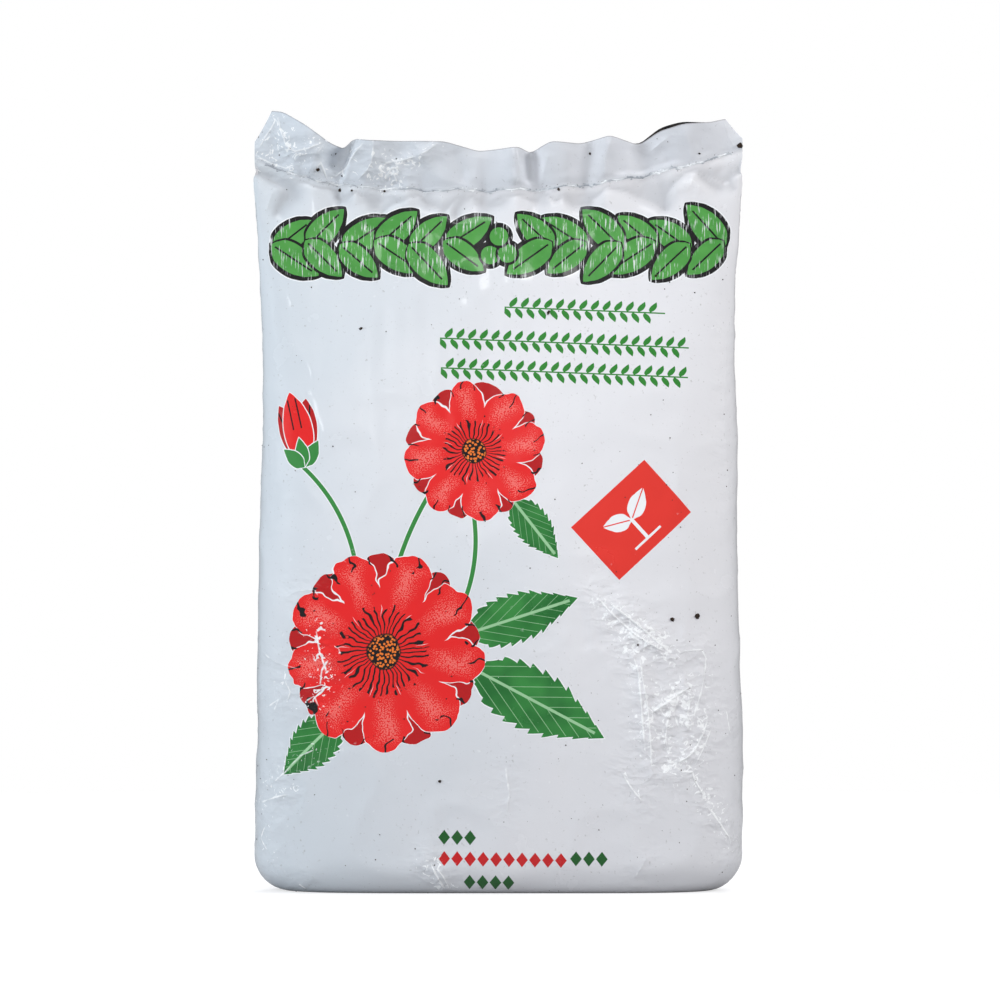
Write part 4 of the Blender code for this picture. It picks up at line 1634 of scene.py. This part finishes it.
    def crinkles(self, graph: Graph) -> tuple[Signal, Signal]:
        """The relief of the fine crinkles, and the glints on them, which are painted white into the colour
        as painted highlight.
        """
        share = graph.attribute("crinkle")
        facets = graph.facets(graph.whole, self.crinkle_pitch, 38.0, 2.1)
        fine = graph.facets(graph.whole, self.crinkle_pitch * 0.42, -30.0, 1.7)
        relief = (facets + fine * 0.35) * share.high(self.crinkle_floor) * self.crinkle_height
        # painted highlight: where the mottle passes its level, the glints are painted white
        mottle = graph.noise(graph.whole, self.mottle_scale, 4.0, twist=self.mottle_twist)
        level = graph.math("MULTIPLY_ADD", share, self.mottle_gain, -self.mottle_level)
        return relief, (mottle + level).mask(0.0, 0.03)

    def crisp_lines(self, graph: Graph) -> Signal | None:
        """The narrow ridges of the sharp creases: 0 beside them, up to 1 on their crests."""
        total = None
        for crease in CREASES:
            share = crease.sharp / self.crease_top
            for start, end, low, high in crease.spans() if crease.sharp else ():
                first = (self.shape.across_film(*start), start[1])
                last = (self.shape.across_film(*end), end[1])
                run, middle = np.subtract(last, first), np.add(first, last) / 2
                if not graph.zone.meets(*middle, abs(run[0]) / 2 + 0.002, abs(run[1]) / 2 + 0.002):
                    continue
                ridge = graph.span(first, last, (low, high), self.crease_half, share)
                total = ridge if total is None else total.high(ridge)
        return total

    def whitening_dirt_and_painted_shade(self, graph: Graph, lines: Signal | None, colour: Signal) -> Signal:
        """Whitens the film a little where it was creased hard, partly as wear and partly as painted
        highlight; paints shade into the furrows, over the rim above the weld and along the weld; sprinkles
        soil near the weld, and darkens the rim's cut edge.
        """
        if lines:
            # partly real whitening of hard creases, partly painted highlight along their crests
            broken = graph.noise(graph.solid, self.whitening_and_glint_scale, 2.0)
            whitening_and_glint = (lines + (broken - 0.66)).mask(-0.22, 0.35)
            colour = graph.mix(whitening_and_glint * self.whitening_and_glint_share, colour, Ink.WHITENING_AND_GLINT)
        # painted shade in the furrows and over the swags under the weld
        colour = graph.mix(graph.attribute("painted_hollow_shade") * self.hollow_shade, colour, Ink.SHADE)
        gap = graph.attribute("weld_gap")
        # painted shade: the rim above the weld is painted a darker, bluer grey
        colour = graph.mix(gap.mask(0.0, 0.002) * self.band_shade, colour, Ink.BAND_SHADE)
        near = graph.math("MULTIPLY_ADD", abs(gap), -1.0 / self.weld_dirt, 1.0, clamp=True)
        specks = graph.noise(graph.solid, self.speck_scale, 2.0)
        colour = graph.mix((specks + near * 0.13).mask(-0.80, 0.06) * near, colour, Ink.SOIL)
        shade = graph.math("MULTIPLY_ADD", abs(gap), -1.0 / self.weld_shade_reach, 1.0, clamp=True)
        colour = graph.mix(shade * self.weld_shade, colour, Ink.SHADE)
        edge = graph.attribute("edge_gap")
        return graph.mix((self.edge_reach - edge).mask(0.0, 0.0003) * self.edge_shade, colour, Ink.EDGE)


@dataclass(frozen=True)
class TonedFinish:
    """Material of two tones that noise parts, with a roughness that may vary a little."""

    name: str
    dark: Colour
    light: Colour
    scale: float
    detail: float
    roughness: float
    edge: Pair | None = None
    rough_spread: float = 0.0
    rough_scale: float = 50.0

    def make(self) -> bpy.types.Material:
        """Makes the material."""
        graph = Graph(self.name)
        tone = graph.noise(graph.solid, self.scale, self.detail)
        tone = tone.mask(*self.edge) if self.edge else tone
        graph.put("Base Color", graph.mix(tone, self.dark, self.light))
        rough = self.roughness
        if self.rough_spread:
            rubbed = graph.noise(graph.solid, self.rough_scale)
            rough = rubbed * self.rough_spread + (rough - self.rough_spread / 2)
        graph.put("Roughness", rough)
        return graph.material


# Dusty black inner side of the film, dark moist compost, and film that was melted along the weld
LINING = TonedFinish("film_lining", ink(22, 21, 23), ink(58, 52, 46), 240.0, 4.0, 0.34, (-0.62, 0.2), 0.2)
CRUMB = TonedFinish("compost_crumb", ink(24, 19, 16), ink(66, 52, 42), 900.0, 3.0, 0.85)
BEAD = TonedFinish("weld_bead", ink(168, 174, 182), ink(240, 243, 246), 130.0, 3.0, 0.16, (-0.53, 0.16))


class PartTree:
    """A geometry node tree with named inputs, and the nodes that every one of them ends in."""

    def __init__(self, name: str) -> None:
        """Makes the tree with its geometry sockets."""
        self.tree = bpy.data.node_groups.new(name, "GeometryNodeTree")
        for side in ("INPUT", "OUTPUT"):
            self.tree.interface.new_socket("Geometry", in_out=side, socket_type="NodeSocketGeometry")
        self.start = self.tree.nodes.new("NodeGroupInput")
        self.values: dict[str, object] = {}

    def size(self, name: str, value: float | int) -> bpy.types.NodeSocket:
        """Adds a named input.

        Args:
            name: The input's name.
            value: Its value for this object.

        Returns:
            The socket inside the tree.
        """
        kind = "NodeSocketInt" if isinstance(value, int) else "NodeSocketFloat"
        made = self.tree.interface.new_socket(name, in_out="INPUT", socket_type=kind)
        self.values[made.identifier] = value
        return self.start.outputs[name]

    def add(self, kind: str, links: Links | None = None, **settings: object) -> bpy.types.Node:
        """Adds a node."""
        return add_node(self.tree, kind, links, **settings)

    def random(self, low: Sequence[float], high: Sequence[float], seed: object = 0) -> bpy.types.Node:
        """A random vector for each instance, between two corners."""
        links = {0: low, 1: high, "Seed": seed}
        return self.add("FunctionNodeRandomValue", links, data_type="FLOAT_VECTOR")

    def finish(self, geometry: bpy.types.Node, material: bpy.types.Material) -> None:
        """Ends the tree with real geometry in its material."""
        real = self.add("GeometryNodeRealizeInstances", {"Geometry": geometry})
        dressed = self.add("GeometryNodeSetMaterial", {"Geometry": real, "Material": material})
        self.add("NodeGroupOutput", {0: dressed})

    def apply(self, piece: bpy.types.Object) -> bpy.types.Object:
        """Runs the tree on a piece and keeps the result as its plain mesh."""
        modifier = piece.modifiers.new(self.tree.name, "NODES")
        modifier.node_group = self.tree
        for identifier, value in self.values.items():
            modifier[identifier] = value
        graph = bpy.context.evaluated_depsgraph_get()
        made = bpy.data.meshes.new_from_object(piece.evaluated_get(graph))
        piece.modifiers.remove(modifier)
        piece.data = made
        return piece


def new_piece(name: str, points: Sequence, edges: Sequence = (), faces: Sequence = ()) -> bpy.types.Object:
    """Makes an object at the origin from points, edges and faces."""
    mesh = bpy.data.meshes.new(name)
    mesh.from_pydata([tuple(p) for p in points], list(edges), list(faces))
    return add_piece(name, mesh)


def add_piece(name: str, data: object) -> bpy.types.Object:
    """Puts a mesh, lamp or camera into the scene as an object at the origin."""
    piece = bpy.data.objects.new(name, data)
    bpy.context.scene.collection.objects.link(piece)
    return piece


@dataclass
class WeldBead:
    """The line of melted film along the weld, on the front and on the rear."""

    shape: FilmShape
    tree: BVHTree
    radius: float = 0.00036
    step: float = 0.0012
    sides: int = 6
    pitch: float = 0.0018
    blister: float = 0.00072
    reach: float = 0.955
    samples: int = 170
    seed: int = 11

    def path(self, side: float) -> list[Vector]:
        """Points along the weld on one face.

        Args:
            side: -1 for the front and 1 for the rear.

        Returns:
            The points.
        """
        points = []
        for place in np.linspace(-self.reach, self.reach, self.samples):
            z = float(self.shape.weld(np.array(place))) + 0.5 * self.shape.weld_band
            x = float(place) * self.shape.weld_width / 2
            hit, _, _, _ = self.tree.ray_cast(Vector((x, side, z)), Vector((0.0, -side, 0.0)))
            if hit:
                points.append(hit)
        return points

    def build(self, material: bpy.types.Material) -> bpy.types.Object:
        """Sweeps the bead and sets small blisters along it."""
        points, edges = [], []
        for side in (-1.0, 1.0):
            run = self.path(side)
            edges += [(len(points) + i, len(points) + i + 1) for i in range(len(run) - 1)]
            points += run
        piece = new_piece("weld_bead", points, edges)
        tree = PartTree("weld_bead")
        radius, pitch = tree.size("Bead radius", self.radius), tree.size("Blister pitch", self.pitch)
        blister, seed = tree.size("Blister size", self.blister), tree.size("Seed", self.seed)
        line = tree.add("GeometryNodeMeshToCurve", {"Mesh": tree.start})
        fine = tree.add("GeometryNodeResampleCurve", {"Curve": line, "Length": self.step}, mode="LENGTH")
        ring = tree.add("GeometryNodeCurvePrimitiveCircle", {"Resolution": self.sides, "Radius": radius})
        links = {"Curve": fine, "Profile Curve": ring, "Fill Caps": True}
        bead = tree.add("GeometryNodeCurveToMesh", links)
        spots = tree.add("GeometryNodeResampleCurve", {"Curve": line, "Length": pitch}, mode="LENGTH")
        ball = tree.add("GeometryNodeMeshIcoSphere", {"Radius": blister, "Subdivisions": 2})
        scale = tree.random((0.25, 0.20, 0.20), (2.00, 0.60, 1.00), seed)
        row = tree.add("GeometryNodeInstanceOnPoints", {"Points": spots, "Instance": ball, "Scale": scale})
        jitter = tree.random((-0.0006, 0.0, -0.0008), (0.0006, 0.0, 0.0008))
        moved = tree.add("GeometryNodeSetPosition", {"Geometry": row, "Offset": jitter})
        join = tree.add("GeometryNodeJoinGeometry", {0: bead})
        tree.tree.links.new(moved.outputs[0], join.inputs[0])
        tree.finish(tree.add("GeometryNodeSetShadeSmooth", {"Geometry": join}), material)
        return tree.apply(piece)


@dataclass
class Crumbs:
    """Crumbs of compost on the film: fine dust everywhere and a few larger ones in front."""

    film: bpy.types.Object
    tree: BVHTree
    density: float = 2400.0
    small: Pair = (0.00008, 0.00036)
    grain: float = 1.7
    roughness: float = 1.5
    lump_size: float = 0.85
    lump_lift: float = 0.1
    seed: int = 5
    # Larger crumbs of the front: (x, z, radius)
    places: tuple[tuple[float, float, float], ...] = (
        (-0.0683, 0.2798, 0.0010), (0.0248, 0.2878, 0.0011), (0.0783, 0.3063, 0.0009),
        (0.0858, 0.1358, 0.0012), (0.0983, 0.1373, 0.0012), (0.0688, 0.1233, 0.0007),
        (-0.0903, 0.3598, 0.0010), (-0.0793, 0.3498, 0.0010), (-0.0733, 0.3493, 0.0007),
        (0.0458, 0.3678, 0.0007), (0.1003, 0.3678, 0.0006), (0.1208, 0.3720, 0.0014),
        (-0.0290, 0.0560, 0.0008), (-0.0570, 0.3492, 0.0008), (0.0300, 0.3500, 0.0007),
    )

    def rock(self, tree: PartTree, fineness: int) -> bpy.types.Node:
        """A rough lump of radius 1."""
        ball = tree.add("GeometryNodeMeshIcoSphere", {"Radius": 1.0, "Subdivisions": fineness})
        rough = tree.add("ShaderNodeTexNoise", {"Scale": self.grain, "Detail": 1.0})
        links = {0: rough.outputs["Color"], 1: (0.5, 0.5, 0.5)}
        centre = tree.add("ShaderNodeVectorMath", links, operation="SUBTRACT")
        move = tree.add("ShaderNodeVectorMath", {0: centre, "Scale": self.roughness}, operation="SCALE")
        return tree.add("GeometryNodeSetPosition", {"Geometry": ball, "Offset": move})

    def dust(self, material: bpy.types.Material) -> bpy.types.Object:
        """Scatters the fine dust over the film."""
        piece = add_piece("compost_dust", self.film.data.copy())
        tree = PartTree("compost_dust")
        density, seed = tree.size("Crumbs per square metre", self.density), tree.size("Seed", self.seed)
        least, most = tree.size("Least size", self.small[0]), tree.size("Most size", self.small[1])
        index = tree.add("GeometryNodeInputMaterialIndex")
        links = {2: index, 3: len(self.film.data.materials) - 1}
        outside = tree.add("FunctionNodeCompare", links, data_type="INT", operation="LESS_THAN")
        links = {"Mesh": tree.start, "Selection": outside, "Density": density, "Seed": seed}
        spots = tree.add("GeometryNodeDistributePointsOnFaces", links)
        size = tree.add("FunctionNodeRandomValue", {2: least, 3: most}, data_type="FLOAT").outputs[1]
        turn = spots.outputs["Rotation"]
        links = {"Points": spots, "Instance": self.rock(tree, 1), "Rotation": turn, "Scale": size}
        tree.finish(tree.add("GeometryNodeInstanceOnPoints", links), material)
        return tree.apply(piece)

    def lumps(self, material: bpy.types.Material) -> bpy.types.Object:
        """Sets the larger crumbs at their places on the front."""
        points, sizes = [], []
        for x, z, radius in self.places:
            hit, normal, _, _ = self.tree.ray_cast(Vector((x, -1.0, z)), Vector((0.0, 1.0, 0.0)))
            if hit:
                points.append(hit + normal * radius * self.lump_lift)
                sizes.append(radius * self.lump_size)
        piece = new_piece("compost_crumbs", points)
        piece.data.attributes.new("radius", "FLOAT", "POINT").data.foreach_set("value", sizes)
        tree = PartTree("compost_crumbs")
        seed = tree.size("Seed", self.seed)
        size = tree.add("GeometryNodeInputNamedAttribute", {"Name": "radius"}, data_type="FLOAT")
        turn = tree.random((0.0, 0.0, 0.0), (math.tau, math.tau, math.tau), seed)
        shape = tree.random((0.55, 0.75, 0.60), (1.15, 1.30, 1.20), seed)
        stretch = tree.add("ShaderNodeVectorMath", {0: shape, "Scale": size}, operation="SCALE")
        links = {"Points": tree.start, "Instance": self.rock(tree, 3), "Rotation": turn, "Scale": stretch}
        tree.finish(tree.add("GeometryNodeInstanceOnPoints", links), material)
        return tree.apply(piece)


@dataclass(frozen=True)
class Lamp:
    """A rectangular lamp that faces the bag's middle: its place, size, power in watts and colour."""

    name: str
    place: tuple[float, float, float]
    size: Pair
    power: float
    colour: tuple[float, float, float] = (1.0, 1.0, 1.0)
    mirrored: bool = True


@dataclass
class Studio:
    """White floor, soft lamps and the camera."""

    frame_height: float = 0.5
    middle: Pair = (0.00075, 0.19475)
    distance: float = 2.4
    sensor: float = 36.0
    aim: tuple[float, float, float] = (0.0, 0.0, 0.19)
    floor_radius: float = 0.9
    floor_sides: int = 64
    floor_colour: Colour = (0.45, 0.45, 0.46, 1.0)
    floor_glow: float = 0.62
    floor_fade: Pair = (0.45, 0.95)
    world_strength: float = 0.38
    low_light: Colour = (0.66, 0.68, 0.71, 1.0)
    high_light: Colour = (0.78, 0.80, 0.83, 1.0)
    lamps: tuple[Lamp, ...] = (
        Lamp("key", (2.0, -1.0, 1.2), (0.7, 0.7), 29.0, (1.0, 0.985, 0.97), False),
        Lamp("fill", (-2.4, -1.0, 0.7), (0.8, 0.8), 38.0, (0.88, 0.95, 1.0), False),
        Lamp("top", (0.1, -0.7, 1.9), (1.6, 0.3), 4.0, (0.98, 0.99, 1.0)),
        Lamp("face", (-0.5, -2.2, 0.95), (0.6, 0.6), 17.5, (1.0, 0.99, 0.98), False),
        Lamp("rear", (0.3, 2.2, 1.0), (0.9, 0.9), 40.0, (0.98, 0.99, 1.0), False),
        Lamp("rear gloss", (-0.3, 2.0, 1.3), (1.0, 0.5), 5.0),
        Lamp("spark", (-1.40, -2.0, 0.80), (0.16, 0.05), 0.22),
        Lamp("spark", (1.10, -2.1, 1.40), (0.05, 0.16), 0.18),
        Lamp("spark", (0.25, -2.0, 1.6), (0.4, 0.10), 0.8),
    )

    def camera(self) -> None:
        """Puts the camera level in front of the bag."""
        data = bpy.data.cameras.new("camera")
        data.sensor_width = self.sensor
        data.lens = self.sensor * self.distance / self.frame_height
        camera = add_piece("camera", data)
        camera.location = (self.middle[0], -self.distance, self.middle[1])
        camera.rotation_euler = (math.pi / 2, 0.0, 0.0)
        bpy.context.scene.camera = camera

    def hang(self, lamp: Lamp) -> None:
        """Hangs one lamp."""
        data = bpy.data.lights.new(lamp.name, "AREA")
        data.shape = "RECTANGLE"
        data.size, data.size_y = lamp.size
        data.energy = lamp.power
        data.color = lamp.colour
        piece = add_piece(lamp.name, data)
        piece.location = lamp.place
        aim = Vector(self.aim) - Vector(lamp.place)
        piece.rotation_euler = aim.to_track_quat("-Z", "Y").to_euler()
        piece.visible_glossy = lamp.mirrored

    def surroundings(self) -> None:
        """Makes the white backdrop and the dimmer light that it gives."""
        world = bpy.data.worlds.new("studio")
        bpy.context.scene.world = world
        world.use_nodes = True
        tree = world.node_tree
        tree.nodes.clear()
        path = add_node(tree, "ShaderNodeLightPath")
        links = {0: path.outputs["Is Camera Ray"], 1: path.outputs["Is Transmission Ray"]}
        seen = add_node(tree, "ShaderNodeMath", links, operation="MAXIMUM")
        place = add_node(tree, "ShaderNodeTexCoord")
        parts = add_node(tree, "ShaderNodeSeparateXYZ", {0: place.outputs["Generated"]})
        links = {0: parts.outputs[2], 1: 0.5, 2: 0.5}
        half = add_node(tree, "ShaderNodeMath", links, operation="MULTIPLY_ADD")
        ramp = add_node(tree, "ShaderNodeValToRGB", {0: half})
        low, high = ramp.color_ramp.elements
        low.position, low.color = 0.30, self.low_light
        high.position, high.color = 0.80, self.high_light
        dim = add_node(tree, "ShaderNodeBackground", {"Color": ramp, "Strength": self.world_strength})
        white = add_node(tree, "ShaderNodeBackground", {"Color": (1.0, 1.0, 1.0, 1.0), "Strength": 1.0})
        mix = add_node(tree, "ShaderNodeMixShader", {0: seen, 1: dim, 2: white})
        add_node(tree, "ShaderNodeOutputWorld", {0: mix})

    def floor(self) -> None:
        """Lays the floor: white to the camera, with the bag's shadow, and fading out far away."""
        steps = np.linspace(0.0, math.tau, self.floor_sides, endpoint=False)
        rim = [(math.cos(t) * self.floor_radius, math.sin(t) * self.floor_radius, 0.0) for t in steps]
        floor = new_piece("floor", rim, faces=[tuple(range(self.floor_sides))])
        material = bpy.data.materials.new("floor")
        material.use_nodes = True
        tree = material.node_tree
        tree.nodes.clear()
        path = add_node(tree, "ShaderNodeLightPath")
        matt = add_node(tree, "ShaderNodeBsdfDiffuse", {"Color": self.floor_colour})
        links = {0: path.outputs["Is Camera Ray"], 1: self.floor_glow}
        scale = add_node(tree, "ShaderNodeMath", links, operation="MULTIPLY")
        glow = add_node(tree, "ShaderNodeEmission", {"Strength": scale})
        both = add_node(tree, "ShaderNodeAddShader", {0: matt, 1: glow})
        place = add_node(tree, "ShaderNodeTexCoord")
        far = add_node(tree, "ShaderNodeVectorMath", {0: place.outputs["Object"]}, operation="LENGTH")
        near, end = (self.floor_radius * share for share in self.floor_fade)
        links = {"Value": far.outputs["Value"], "From Min": near, "From Max": end}
        fade = add_node(tree, "ShaderNodeMapRange", links)
        clear = add_node(tree, "ShaderNodeBsdfTransparent")
        mix = add_node(tree, "ShaderNodeMixShader", {0: fade, 1: both, 2: clear})
        add_node(tree, "ShaderNodeOutputMaterial", {0: mix})
        floor.data.materials.append(material)

    def build(self) -> None:
        """Sets up the camera, lamps, backdrop and floor."""
        self.camera()
        for lamp in self.lamps:
            self.hang(lamp)
        self.surroundings()
        self.floor()
        bpy.context.scene.view_settings.view_transform = "Standard"


def hand_over(piece: bpy.types.Object) -> None:
    """Lets a piece ride on the bag, and reports it."""
    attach(piece, BODY)
    LOG.info("%s: %d faces", piece.name, len(piece.data.polygons))


def surface_of(piece: bpy.types.Object) -> BVHTree:
    """A search tree over a piece's surface."""
    mesh = bmesh.new()
    mesh.from_mesh(piece.data)
    tree = BVHTree.FromBMesh(mesh)
    mesh.free()
    return tree


def main() -> None:
    """Builds the bag's pieces in order, and the studio."""
    logging.basicConfig(level=logging.INFO, format="%(name)s %(message)s")
    Studio().build()
    shape = FilmShape()
    bag = FilmBag(shape)
    film = bag.build(FilmFinish(shape=shape).make_all(bag.grid.zones()), LINING.make())
    hand_over(film)
    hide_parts(NODE)
    surface = surface_of(film)
    hand_over(WeldBead(shape, surface).build(BEAD.make()))
    crumb = CRUMB.make()
    crumbs = Crumbs(film, surface)
    hand_over(crumbs.dust(crumb))
    hand_over(crumbs.lumps(crumb))


if __name__ == "__main__":
    main()
